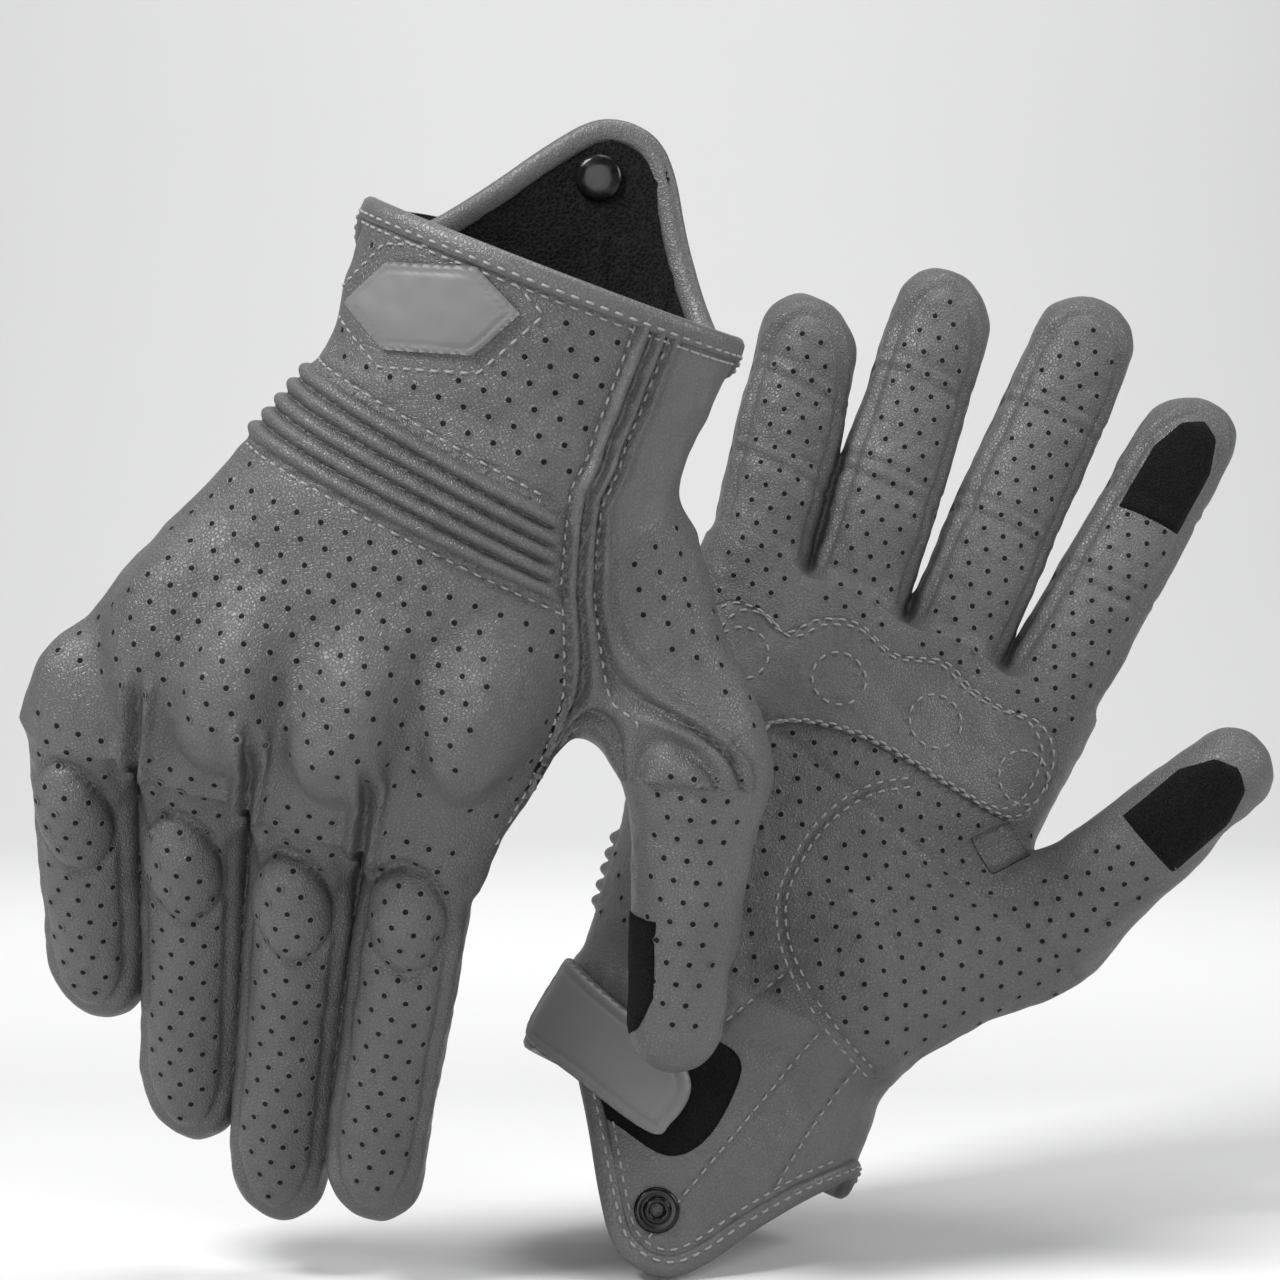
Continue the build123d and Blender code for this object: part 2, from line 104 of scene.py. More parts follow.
area_light("key", (-0.50, -0.38, 0.60), (0.0, 0.0, -0.08), 0.26, 11.0)
area_light("right", (0.72, -0.10, 0.22), (0.05, 0.0, -0.08), 0.35, 3.2)
area_light("top", (0.10, 0.10, 0.75), (0.0, 0.03, -0.08), 0.4, 3.5)
area_light("wall", (0.0, 0.45, 0.95), (0.0, 2.0, 0.75), 1.4, 21)
area_light("front", (-0.10, -0.80, -0.02), (0.0, 0.0, -0.10), 0.5, 2.6)
world = bpy.data.worlds.new("studio")
bpy.context.scene.world = world
world.use_nodes = True
world.node_tree.nodes["Background"].inputs["Color"].default_value = (0.97, 0.985, 1.0, 1)
world.node_tree.nodes["Background"].inputs["Strength"].default_value = 0.16
bpy.context.scene.view_settings.view_transform = "Standard"


# ---- Shader writing --------------------------------------------------------------------------
# Materials are written as sums and products of values. Every one of them is drawn in the piece's own
# millimetres, so its grain stays on the piece when a finger bends.
class Wire:
    """One shader value: arithmetic on it adds Math nodes."""

    def __init__(self, shader, socket):
        self.shader, self.socket = shader, socket

    def math(self, operation, first, second):
        return self.shader.node("ShaderNodeMath", {"operation": operation}, {0: first, 1: second})

    def __add__(self, other):
        return self.math("ADD", self, other)

    def __radd__(self, other):
        return self.math("ADD", other, self)

    def __sub__(self, other):
        return self.math("SUBTRACT", self, other)

    def __rsub__(self, other):
        return self.math("SUBTRACT", other, self)

    def __mul__(self, other):
        return self.math("MULTIPLY", self, other)

    def __rmul__(self, other):
        return self.math("MULTIPLY", other, self)

    def ramp(self, low, high, out_low=0.0, out_high=1.0):
        """Smooth step from low..high to out_low..out_high."""
        return self.shader.node("ShaderNodeMapRange", {"interpolation_type": "SMOOTHSTEP"},
                                {0: self, 1: low, 2: high, 3: out_low, 4: out_high})


class Shader:
    """One material under construction."""

    def __init__(self, name):
        self.material = bpy.data.materials.new(name)
        self.material.use_nodes = True
        self.tree = self.material.node_tree
        self.surface = self.tree.nodes["Principled BSDF"]

    def node(self, kind, settings, inputs, output=0):
        made = self.tree.nodes.new(kind)
        for key, value in settings.items():
            setattr(made, key, value)
        self.feed(made, inputs)
        return Wire(self, made.outputs[output])

    def feed(self, made, inputs):
        for key, value in inputs.items():
            if isinstance(value, Wire):
                self.tree.links.new(value.socket, made.inputs[key])
            else:
                made.inputs[key].default_value = value

    def place(self):
        """The leather's own coordinates, in millimetres, which stay with it as it bends."""
        return self.node("ShaderNodeAttribute", {"attribute_name": "rest"}, {}, "Vector")

    def noise(self, where, scale, detail):
        return self.node("ShaderNodeTexNoise", {}, {"Vector": where, "Scale": scale, "Detail": detail}, "Fac")

    def cells(self, where, scale, feature="DISTANCE_TO_EDGE"):
        return self.node("ShaderNodeTexVoronoi", {"feature": feature}, {"Vector": where, "Scale": scale},
                         "Distance")

    def mix(self, share, low, high):
        return self.node("ShaderNodeMix", {"data_type": "RGBA"}, {0: share, 6: low, 7: high}, 2)

    def bump(self, height, strength, distance, under=None):
        inputs = {"Height": height, "Strength": strength, "Distance": distance}
        if under is not None:
            inputs["Normal"] = under
        return self.node("ShaderNodeBump", {}, inputs, "Normal")

    def finish(self, **inputs):
        self.feed(self.surface, {key.replace("_", " "): value for key, value in inputs.items()})
        return self.material


def grey(value):
    return (value, value, value, 1)


def leather(name, shade, pebble):
    """Dyed goat leather: fine pebbled grain, darker in its pores, rubbed a little paler in broad areas."""
    s = Shader(name)
    where = s.place()
    grain = s.cells(where, 1.15).ramp(0.0, 0.22)
    fine = s.noise(where, 2.6, 4.0)
    broad = s.noise(where, 0.045, 3.0)
    crease = s.noise(where, 0.32, 5.0)
    tone = (broad * 0.55 + fine * 0.2 + grain * 0.25).ramp(0.2, 0.85)
    colour = s.mix(tone, grey(shade * 0.80), grey(shade * 1.22))
    soft = s.bump(crease, 0.35, 0.0008)
    normal = s.bump(grain * 0.7 + fine * 0.5, pebble, 0.00022, soft)
    rough = (fine * 0.5 + crease * 0.5).ramp(0.2, 0.8, 0.34, 0.50)
    return s.finish(Base_Color=colour, Roughness=rough, Normal=normal, Specular_IOR_Level=0.48)


def moulded(name, shade):
    """Matt moulded rubber with a faint spark-eroded texture."""
    s = Shader(name)
    where = s.place()
    speck = s.noise(where, 6.0, 3.0)
    cloud = s.noise(where, 0.12, 2.0)
    colour = s.mix(cloud, grey(shade * 0.94), grey(shade * 1.08))
    return s.finish(Base_Color=colour, Roughness=speck.ramp(0.2, 0.8, 0.46, 0.60),
                    Normal=s.bump(speck, 0.25, 0.0001))


def fuzz(name, shade, scale, depth):
    """Short black pile: suede, loops or knit."""
    s = Shader(name)
    where = s.place()
    pile = s.noise(where, scale, 6.0)
    tuft = s.cells(where, scale * 0.8, "F1")
    colour = s.mix((pile * 0.6 + tuft * 0.6).ramp(0.25, 0.85), grey(shade * 0.4), grey(shade * 2.4))
    return s.finish(Base_Color=colour, Roughness=pile.ramp(0.0, 1.0, 0.85, 1.0),
                    Normal=s.bump(pile + tuft * 0.7, 0.8, depth),
                    Sheen_Weight=0.01, Sheen_Roughness=0.5, Specular_IOR_Level=0.1)


def thread(name, shade):
    """Spun polyester thread."""
    s = Shader(name)
    twist = s.noise(s.place(), 3.0, 3.0)
    return s.finish(Base_Color=s.mix(twist, grey(shade * 0.75), grey(shade * 1.2)),
                    Roughness=twist.ramp(0.0, 1.0, 0.5, 0.75), Normal=s.bump(twist, 0.5, 0.0001))


def metal(name, shade):
    """Black lacquered brass."""
    s = Shader(name)
    wear = s.noise(s.place(), 0.8, 5.0)
    return s.finish(Base_Color=s.mix(wear, grey(shade * 0.7), grey(shade * 1.6)), Metallic=0.8,
                    Roughness=wear.ramp(0.2, 0.8, 0.16, 0.34), Normal=s.bump(wear, 0.1, 0.00005))


LEATHER = leather("grey_leather", 0.080, 0.75)
SMOOTH = leather("palm_leather", 0.084, 0.40)
RUBBER = moulded("grey_rubber", 0.135)
SUEDE = fuzz("black_touch_suede", 0.0035, 2.4, 0.0006)
LOOP = fuzz("black_loop", 0.004, 3.5, 0.0009)
KNIT = fuzz("black_knit", 0.005, 1.6, 0.0005)
THREAD = thread("grey_thread", 0.235)
# the dark disc in each punched hole: painted shade standing in for the depth of the hole
HOLE_SHADE = fuzz("painted_hole_shade", 0.006, 3.0, 0.0001)
BLACK_METAL = metal("black_lacquer", 0.02)

# the studio floor: plain pale paper
paper = Shader("paper")
paper_where = paper.node("ShaderNodeTexCoord", {}, {}, "Object")
paper_cloud = paper.noise(paper_where, 3.0, 2.0)
paper.finish(Base_Color=paper.mix(paper_cloud, grey(0.70), grey(0.72)), Roughness=paper_cloud.ramp(0, 1, 0.85, 0.95))
backdrop.data.materials.append(paper.material)

# ---- The hand frames ---------------------------------------------------------------------------
# Each glove is drawn in its own frame, in millimetres: x to the thumb, y out of the back of the
# hand, z to the fingertips, from the middle of the wrist. The frame comes from the CAD's mounts.
CUFF_LENGTH, WRIST, PALM = 28.0, 4.9, 98.0
PITCH, FINGER_WIDE, FINGER_DEEP, FINGER_SHRINK, THUMB_SHRINK = 25.6, 25.2, 25.6, 0.90, 0.68
FINGERS = ["index", "middle", "ring", "little"]
LENGTH = {"index": 87.0, "middle": 98.0, "ring": 88.0, "little": 67.0}
THUMB_LONG, THUMB_WIDE, THUMB_DEEP = 64.0, 28.0, 26.8
POSES = {
    "near": {"drift": -21.0, "splay": (10.5, 12.5, 14.5, 16.5), "curl": (13.0, 16.0, 19.0, 22.0),
             "full": (1.0, 1.0, 1.0, 1.0),
             "thumb": (67.0, 0.0, 64.0), "thumb_splay": 16.0, "thumb_dip": 0.0},
    "far": {"drift": -3.0, "splay": (4.0, -1.5, -8.0, -12.0), "curl": (3.0, 3.0, 3.0, 4.0),
            "full": (1.03, 1.09, 1.08, 1.10),
            "thumb": (58.0, -13.0, 53.0), "thumb_splay": 23.0, "thumb_dip": 18.0},
}
mounts = {m["name"]: m for m in frame["record"]["mounts"]}

# half width, half depth and rise of the hand along z, eased so the leather has no corners
WIDE = 3 * PITCH + FINGER_WIDE + 4
rows = np.array([(-72, 43.5, 31, 0), (-28, 42, 29, 0), (4, 39.6, 25.0, 0), (31, 43.6, 23.8, 1),
                 (64, 50.4, 23.6, 2), (88, 51.6, 17.5, 1), (104, 51.6, 12.6, 0), (130, 51.6, 12, 0)], float)
fine_z = np.arange(-72, 130.5, 0.5)
PROFILE = np.stack([np.convolve(np.pad(np.interp(fine_z, rows[:, 0], rows[:, k]), 12, mode="edge"),
                                np.hanning(27)[1:-1] / np.hanning(27).sum(), "valid")
                    for k in (1, 2, 3)])


def hand_size(glove, z):
    """Middle x, middle y, half width, half depth of the hand at z."""
    wide, deep, rise = (np.interp(z, fine_z, row) for row in PROFILE)
    drift = POSES[glove]["drift"] * np.clip((z - WRIST) / (PALM - WRIST), 0, 1.25)
    return drift, rise, wide, deep


class Glove:
    """One glove's frames."""

    def __init__(self, name):
        self.name, self.pose = name, POSES[name]
        y = -np.array(mounts[f"{name}_snap_stud"]["axis"])
        z = -np.array(mounts[f"{name}_hand_opening"]["axis"])
        self.axes = np.stack([np.cross(y, z), y, z])
        self.origin = np.array(mounts[f"{name}_hand_opening"]["pos_m"]) * 1000 + z * CUFF_LENGTH
        self.digits = {}
        for i, finger in enumerate(FINGERS):
            curl = self.pose["curl"][i] * DEG
            root = np.array([(1.5 - i) * PITCH + self.pose["drift"], -13.0, PALM])
            axes = np.array([(1, 0, 0), (0, math.cos(curl), math.sin(curl)), (0, -math.sin(curl), math.cos(curl))])
            self.digits[finger] = (root, axes, LENGTH[finger], FINGER_WIDE, FINGER_DEEP,
                                   math.tan(self.pose["splay"][i] * DEG), FINGER_SHRINK, self.pose["full"][i])
        splay, dip = self.pose["thumb_splay"] * DEG, self.pose["thumb_dip"] * DEG
        out = np.array([math.sin(splay), 0, math.cos(splay)])
        reach = out * math.cos(dip) - np.array([0, 1, 0]) * math.sin(dip)
        side = np.array([math.cos(splay), 0, -math.sin(splay)])
        up = np.cross(reach, side)
        root = np.array(self.pose["thumb"]) - up * THUMB_DEEP / 2
        self.digits["thumb"] = (root, np.stack([side, up, reach]), THUMB_LONG, THUMB_WIDE, THUMB_DEEP, 0.0,
                                THUMB_SHRINK, 1.0)

    def world(self, points):
        """Hand-frame millimetres to the shared frame's metres."""
        return (self.origin + np.asarray(points) @ self.axes) * 0.001


def digit_coords(digit, points):
    """Across, up from the middle, along, and the half sizes there, for points in the hand frame."""
    root, axes, length, wide, deep, slant, shrink, full = digit
    local = (points - root) @ axes.T
    along = local[..., 2]
    scale = 1 - (1 - shrink) * np.clip(along / length, -0.1, 1)
    plump = scale * (1 + (full - 1) * step(along, 4, 34))
    return local[..., 0] - along * slant, local[..., 1] - deep / 2 * scale, along, wide / 2 * plump, deep / 2 * scale


def digit_point(digit, across, up, along):
    """The hand-frame point at a place given as digit_coords gives it."""
    root, axes, length, _, deep, slant, shrink, _ = digit
    scale = 1 - (1 - shrink) * np.clip(along / length, -0.1, 1)
    return root + np.stack([across + along * slant, up + deep / 2 * scale, along], -1) @ axes


def blend_min(a, b, reach):
    """Union of two bodies with a fillet."""
    share = np.clip(0.5 + 0.5 * (b - a) / reach, 0, 1)
    return b * (1 - share) + a * share - reach * share * (1 - share)


def digit_field(digit, points):
    """Signed distance to a finger, with its domed tip and a root that runs back into the hand."""
    across, up, along, wide, deep = digit_coords(digit, points)
    length = digit[2]
    dome = length - deep
    over = np.maximum(along - dome, 0) / (length - dome)
    under = np.minimum(along, 0) / 24
    q = np.sqrt((across / wide) ** 2 + (up / deep) ** 2 + over ** 2 + under ** 2)
    return (q - 1) * deep


def ball(points, middle, sizes):
    q = np.sqrt((((points - middle) / sizes) ** 2).sum(-1))
    return (q - 1) * min(sizes)


def knuckle_places(glove):
    """The four hard knuckles under the back panel: middle and size of each bulge."""
    drift = POSES[glove]["drift"]
    return [((x + drift * z / PALM * 0.96, y, z), (12.0, tall, 19.0))
            for x, y, z, tall in ((31, 14.5, 64, 14.5), (8.5, 19.5, 73, 13.5), (-15.5, 18.5, 76, 13.5),
                                  (-34.5, 12.5, 71, 12.0))]


def skin_field(glove, points):
    """Signed distance to the whole glove as a hand would fill it."""
    cx, cy, wide, deep = hand_size(glove.name, points[..., 2])
    dx, dy = points[..., 0] - cx, points[..., 1] - cy
    q = np.sqrt((dx / wide) ** 2 + (dy / deep) ** 2) + 1e-6
    slope = np.sqrt((dx / wide ** 2) ** 2 + (dy / deep ** 2) ** 2) / q + 1e-6
    hand = np.maximum((q - 1) / slope, points[..., 2] - PALM - 3)
    for place, size in knuckle_places(glove.name):
        hand = blend_min(hand, ball(points, np.array(place), np.array(size)), 6.0)
    fingers = None
    for finger in FINGERS:
        one = digit_field(glove.digits[finger], points)
        fingers = one if fingers is None else blend_min(fingers, one, 1.2 if glove.name == "near" else 3.4)
    hand = blend_min(hand, fingers, 6.0)
    # the mound: a cone from inside the palm to the thumb's root
    thumb = glove.digits["thumb"]
    end = np.array(glove.pose["thumb"]) - thumb[1][2] * 3
    start = end - np.array([34, end[1] * 0.5 + 7, 30])
    way = end - start
    share = np.clip(((points - start) @ way) / (way @ way), 0, 1)
    cone = np.linalg.norm((points - start - share[..., None] * way) * np.array([1, 1.15, 1]), axis=-1)
    mound = cone - (23 - 9.5 * share)
    return blend_min(hand, blend_min(mound, digit_field(thumb, points), 8.0), 10.0)


# ---- Skin: the leather surface of a glove -------------------------------------------------------
# One surface is drawn round the whole glove and then cut into its sewn panels, so that the panels
# meet exactly. GRID is the spacing of its points.
GRID = 0.95


def surface_net(field, spacing, low):
    """Quads round the zero level of a field sampled on a grid."""
    inside = field < 0
    count = np.zeros(tuple(n - 1 for n in field.shape), np.int8)
    total = np.zeros(count.shape + (3,), np.float32)
    weight = np.zeros(count.shape, np.float32)
    corner = lambda a, o: a[o[0]:a.shape[0] - 1 + o[0], o[1]:a.shape[1] - 1 + o[1], o[2]:a.shape[2] - 1 + o[2]]
    for axis in range(3):
        step = np.eye(3, dtype=int)[axis]
        others = [k for k in range(3) if k != axis]
        for a in (0, 1):
            for b in (0, 1):
                start = np.zeros(3, int)
                start[others[0]], start[others[1]] = a, b
                f0, f1 = corner(field, start), corner(field, start + step)
                cross = (f0 < 0) != (f1 < 0)
                share = np.where(cross, f0 / np.where(cross, f0 - f1, 1), 0)
                for k in range(3):
                    total[..., k] += cross * (start[k] + (share if k == axis else 0))
                weight += cross
    used = weight > 0
    index = np.full(count.shape, -1)
    index[used] = np.arange(used.sum())
    cells = np.argwhere(used)
    points = low + spacing * (cells + total[used] / weight[used][:, None])
    quads = []
    for axis in range(3):
        step = np.eye(3, dtype=int)[axis]
        others = [k for k in range(3) if k != axis]
        f0 = inside[tuple(slice(0, -1) if k == axis else slice(1, -1) for k in range(3))]
        f1 = inside[tuple(slice(1, None) if k == axis else slice(1, -1) for k in range(3))]
        for outward in (True, False):
            at = np.argwhere(f0 & ~f1 if outward else f1 & ~f0)
            ring = []
            for a, b in ((0, 0), (1, 0), (1, 1), (0, 1)):
                pick = at.copy()
                pick[:, others[0]] += a
                pick[:, others[1]] += b
                ring.append(index[tuple(pick.T)])
            ring = np.stack(ring, 1)
            flip = outward == (axis == 1)
            quads.append(ring[:, ::-1] if flip else ring)
    return points, np.concatenate(quads)


def field_normal(glove, points):
    gradient = np.stack([skin_field(glove, points + e) - skin_field(glove, points - e)
                         for e in np.eye(3) * 0.4], -1)
    return gradient / np.linalg.norm(gradient, axis=-1, keepdims=True)


def make_skin(glove):
    """The glove's plain outer surface: points, quads and normals in the hand frame."""
    low, high = np.array([-86.0, -48.0, -70.0]), np.array([112.0, 42.0, 206.0])
    if glove.name == "near":
        low[1] = -88.0
    counts = ((high - low) / GRID).astype(int)
    axes = [low[k] + GRID * np.arange(counts[k]) for k in range(3)]
    field = np.empty(counts, np.float32)
    for i, x in enumerate(axes[0]):
        y, z = np.meshgrid(axes[1], axes[2], indexing="ij")
        field[i] = skin_field(glove, np.stack([np.full_like(y, x), y, z], -1))
    points, quads = surface_net(field, GRID, low)
    for _ in range(2):
        normal = field_normal(glove, points)
        points = points - normal * np.clip(skin_field(glove, points), -1, 1)[:, None] * 0.8
    return points, quads, field_normal(glove, points)


# ---- The seams that shape the leather ------------------------------------------------------------
# Seams, ribs, welts and pads are placed by the angle round the hand and the distance along it. They
# raise or sink the plain surface by a few tenths of a millimetre to a few millimetres.
def around(glove, points):
    """Angle round the hand in degrees: 0 at the thumb, 90 on the back, 180 little finger, 270 palm."""
    cx, cy, wide, deep = hand_size(glove.name, points[..., 2])
    angle = np.degrees(np.arctan2((points[..., 1] - cy) / deep, (points[..., 0] - cx) / wide))
    return np.where(angle < -90, angle + 360, angle)


SIDE_RADIUS = 46      # from the middle of the wrist to the side seam, to turn angles into mm


def side_seam(z):
    """Angle of the long seam that runs from the cuff down the index side of the back."""
    return np.interp(z, [-30, 12, 32, 54, 74, 100], [60, 57, 44, 24, 14, 8])


def flex_edges(x):
    """Lower and upper edge of the ribbed flex panel across the back of the wrist."""
    low = 8 + 0.15 * (x + 46)
    return low, low + 20 - 0.04 * (x + 46)


def cuff_edge(x):
    """How far down the palm side of the cuff reaches: a rounded point with hollow flanks."""
    corners = np.array([(-50, -18), (-41, -19), (-31, -26), (-22, -38), (-14, -50), (-6, -60), (1, -62.5),
                        (9, -61.5), (15, -56), (22, -44), (31, -32), (38, -25), (43, -20), (50, -19)], float)
    fine = np.interp(np.arange(-60, 61, 1.0), corners[:, 0], corners[:, 1])
    soft = np.convolve(np.pad(fine, 3, mode="edge"), np.ones(7) / 7, "valid")
    return np.interp(x, np.arange(-60, 61, 1.0), soft)


def ripple(value, middle, width):
    return np.exp(-((value - middle) / width) ** 2)


def step(value, low, high):
    t = np.clip((value - low) / (high - low), 0, 1)
    return t * t * (3 - 2 * t)


def panel_border(digit, points):
    """Distance in mm outside the U-shaped seam round a finger's punched panel (negative inside)."""
    across, up, along, wide, deep = digit_coords(digit, points)
    over = np.maximum(along - (digit[2] - 22), 0) / 16
    q = np.sqrt((across / (0.80 * wide)) ** 2 + over ** 2)
    return (q - 1) * wide * 0.8


# seams on the palm side, as x and z in the hand frame: the edge of the thumb's panel, and quilting
CRESCENT = [(14, 66), (6, 60), (0, 51), (-3, 40), (-3, 28), (2, 18), (11, 10), (22, 4), (34, 0)]
QUILTING = [[(4, 12), (-6, -8), (-20, -32)], [(17, 3), (9, -26), (4, -44), (0, -59)],
            [(29, 0), (25, -18), (23, -34)]]


def drift_at(glove, z):
    return hand_size(glove.name, z)[0] * 0.8


def line_distance(x, z, line):
    """Distance of points from a line of short runs."""
    best = np.full(np.shape(x), 1e9)
    for (ax, az), (bx, bz) in zip(line, line[1:]):
        dx, dz = bx - ax, bz - az
        t = np.clip(((x - ax) * dx + (z - az) * dz) / (dx * dx + dz * dz + 1e-9), 0, 1)
        best = np.minimum(best, (x - ax - t * dx) ** 2 + (z - az - t * dz) ** 2)
    return np.sqrt(best)


def relief(glove, points, normals):
    """How far each point of the skin stands out, in mm: pads, ribs, piping, folds and seams."""
    x, z = points[:, 0], points[:, 2]
    angle = around(glove, points)
    back = step(normals[:, 1], 0.0, 0.35)
    height = np.zeros(len(points))
    root = np.zeros(len(points))
    for i, finger in enumerate(FINGERS):
        digit = glove.digits[finger]
        across, up, along, wide, deep = digit_coords(digit, points)
        mine = (np.abs(across) < wide + 0.7) & (along > -12)
        root = np.maximum(root, mine * step(along, -6, 6))
        # oval foam pad on the back, just past the knuckle
        q = np.sqrt((across / 7.9) ** 2 + ((along - (9, 15, 15, 12)[i]) / 11.0) ** 2)
        dome = np.sqrt(np.clip(1 - (q / 1.08) ** 2, 0, 1))
        height += mine * (up > 0) * (4.4 * dome - 0.9 * ripple(q, 1.18, 0.10))
        # U-shaped seams of the punched panels, and the welt just outside them
        out = panel_border(digit, points)
        seam = -0.75 * ripple(out, 0, 0.8) + 0.45 * ripple(out, 1.9, 1.1)
        height += mine * step(along, 4, 12) * seam * step(np.abs(up) / deep, 0.1, 0.45)
        # bend creases
        for fold in (0.36, 0.66):
            height -= mine * (up < 0) * 0.55 * ripple(along, fold * digit[2], 1.3)
            height -= mine * (up < 0) * 0.35 * ripple(along, fold * digit[2] + 4, 1.1)
        if i:
            # rolled fold on the back where two fingers part
            middle = (2 - i) * PITCH + glove.pose["drift"] + (z - PALM) * 0.2 * (glove.name == "near")
            gap = x - middle
            fade = step(z, 78, 88) * step(-z, -112, -100) * back
            height += fade * (2.7 * ripple(np.abs(gap), 2.6, 1.3) - 1.6 * ripple(gap, 0, 1.1))
    thumb = glove.digits["thumb"]
    across, _, along, _, _ = digit_coords(thumb, points)
    on_thumb = (digit_field(thumb, points) < 2.5) & (along > -2)
    height += on_thumb * step(along, 0, 10) * (-0.7 * ripple(across - 0.1 * along, 6.5, 0.8)
                                             + 0.4 * ripple(across - 0.1 * along, 8.3, 1.1)) * (normals[:, 1] < 0.2)
    free = (1 - root) * (1 - on_thumb)
    # ribbed flex panel
    low, high = flex_edges(x)
    share = (z - low) / (high - low)
    inside = (share > 0) & (share < 1) & (angle > side_seam(z) + 1) & (angle < 188) & (normals[:, 1] > -0.4)
    ends = step(angle - side_seam(z), 1, 8) * step(184 - angle, 0, 12)
    rib = np.sqrt(np.abs(np.sin(np.pi * 5 * np.clip(share, 0, 1))))
    height += inside * ends * (2.8 * rib - 0.8) * free
    height -= (0.6 * (ripple(z, low - 1.6, 0.7) + ripple(z, high + 1.6, 0.7)) * ends
               * (angle > side_seam(z)) * (angle < 186) * free)
    # three piped welts down the index side
    span = (side_seam(z) - angle) * DEG * SIDE_RADIUS * np.interp(z, [20, 60], [1.0, 1.35])
    side = step(z, -29, -26) * step(-z, -88, -72) * step(angle, -60, -40) * step(-angle, -95, -85) * (1 - on_thumb)
    for k, place in enumerate((1.6, 6.4, 11.0)):
        fade = side if k == 0 else side * step(-z, -74, -54)
        height += fade * (1.7 * ripple(span, place, 1.3) - 0.6 * ripple(span, place - 2.2, 0.7)
                          - 0.5 * ripple(span, place + 2.2, 0.7))
    # seams sewn flat on the palm side, and the quilted rows of the cuff's point
    palm_side = step(-normals[:, 1], 0.0, 0.3) * (1 - root)
    for line, depth in [(CRESCENT, 0.6)] + [(row, 0.55) for row in QUILTING]:
        height -= palm_side * depth * ripple(line_distance(x - drift_at(glove, z), z, curved(line)), 0, 1.0)
    # a crease across the palm, and soft waves round the wrist
    palm = step(-normals[:, 1], 0.1, 0.5) * free
    height -= palm * 0.5 * ripple(z + 0.25 * x, 58, 1.5)
    from_wrist = ripple(z, 2, 16)
    waves = np.sin(z * 0.42 + 1.6 * np.sin(x * 0.11 + 2.0)) * 0.28 * from_wrist * (1 - inside)
    height += waves * step(-z, -40, -10)
    return height


def wrinkles(points, seed):
    """Uneven slack in the leather, in mm."""
    out = np.empty(len(points))
    for i, p in enumerate(points):
        v = Vector(p)
        out[i] = 0.55 * noise.noise(v * 0.085 + Vector((seed, 0, 0))) + 0.28 * noise.noise(v * 0.24)
    return out


# ---- Putting meshes together -----------------------------------------------------------------------
# Thread stitches, punched holes and flat pieces are real meshes laid on the leather.
def tube_faces(rings, sides):
    """Quads between neighbouring rings of a tube."""
    return [(r * sides + a, r * sides + (a + 1) % sides, (r + 1) * sides + (a + 1) % sides, (r + 1) * sides + a)
            for r in range(rings - 1) for a in range(sides)]


class Stock:
    """Vertices and faces gathered for one piece, in the hand frame's millimetres."""

    def __init__(self):
        self.points, self.faces, self.slots, self.count = [], [], [], 0

    def add(self, points, faces, slot=0):
        self.points.append(np.asarray(points, float).reshape(-1, 3))
        self.faces += [tuple(int(i) + self.count for i in face) for face in faces]
        self.slots += [slot] * len(faces)
        self.count += len(self.points[-1])

    def merge(self, other):
        self.points += other.points
        self.faces += [tuple(i + self.count for i in face) for face in other.faces]
        self.slots += other.slots
        self.count += other.count

    def build(self, glove, name, materials, normals=None):
        points = np.concatenate(self.points)
        mesh = bpy.data.meshes.new(name)
        mesh.from_pydata(glove.world(points).tolist(), [], self.faces)
        mesh.polygons.foreach_set("use_smooth", [True] * len(mesh.polygons))
        mesh.polygons.foreach_set("material_index", self.slots)
        rest = mesh.attributes.new("rest", "FLOAT_VECTOR", "POINT")
        rest.data.foreach_set("vector", points.astype(np.float32).ravel())
        for material in materials:
            mesh.materials.append(material)
        if normals is not None:
            own = np.empty(len(points) * 3, np.float32)
            mesh.vertex_normals.foreach_get("vector", own)
            own = own.reshape(-1, 3)
            own[:len(normals)] = normals @ glove.axes
            mesh.normals_split_custom_set_from_vertices(own.tolist())
        made = bpy.data.objects.new(name, mesh)
        bpy.context.collection.objects.link(made)
        return made


def frames_along(path, normals):
    """Side and normal at each point of a line on the leather."""
    tangent = np.gradient(path, axis=0)
    tangent /= np.linalg.norm(tangent, axis=1, keepdims=True) + 1e-9
    side = np.cross(tangent, normals)
    side /= np.linalg.norm(side, axis=1, keepdims=True) + 1e-9
    return side, np.cross(side, tangent)


def respace(path, spacing):
    """The same line with points at even spacing."""
    path = np.asarray(path, float)
    length = np.concatenate([[0], np.cumsum(np.linalg.norm(np.diff(path, axis=0), axis=1))])
    count = max(2, int(round(length[-1] / spacing)) + 1)
    at = np.linspace(0, length[-1], count)
    return np.stack([np.interp(at, length, path[:, k]) for k in range(path.shape[1])], 1)


def curved(corners, closed=False, steps=10):
    """A smooth line through a few corners."""
    p = np.asarray(corners, float)
    ends = (p[-1:], p[:2]) if closed else (2 * p[:1] - p[1:2], 2 * p[-1:] - p[-2:-1])
    p = np.concatenate([ends[0], p, ends[1]])
    out = []
    for a, b, c, d in zip(p, p[1:], p[2:], p[3:]):
        t = np.linspace(0, 1, steps, endpoint=False)[:, None]
        out.append(0.5 * (2 * b + (c - a) * t + (2 * a - 5 * b + 4 * c - d) * t ** 2
                          + (3 * b - a - 3 * c + d) * t ** 3))
    out.append(p[-2:-1])
    return np.concatenate(out)


STITCH, STITCH_GAP, THREAD_R, SEAM_STEP = 2.3, 0.9, 0.30, 0.4


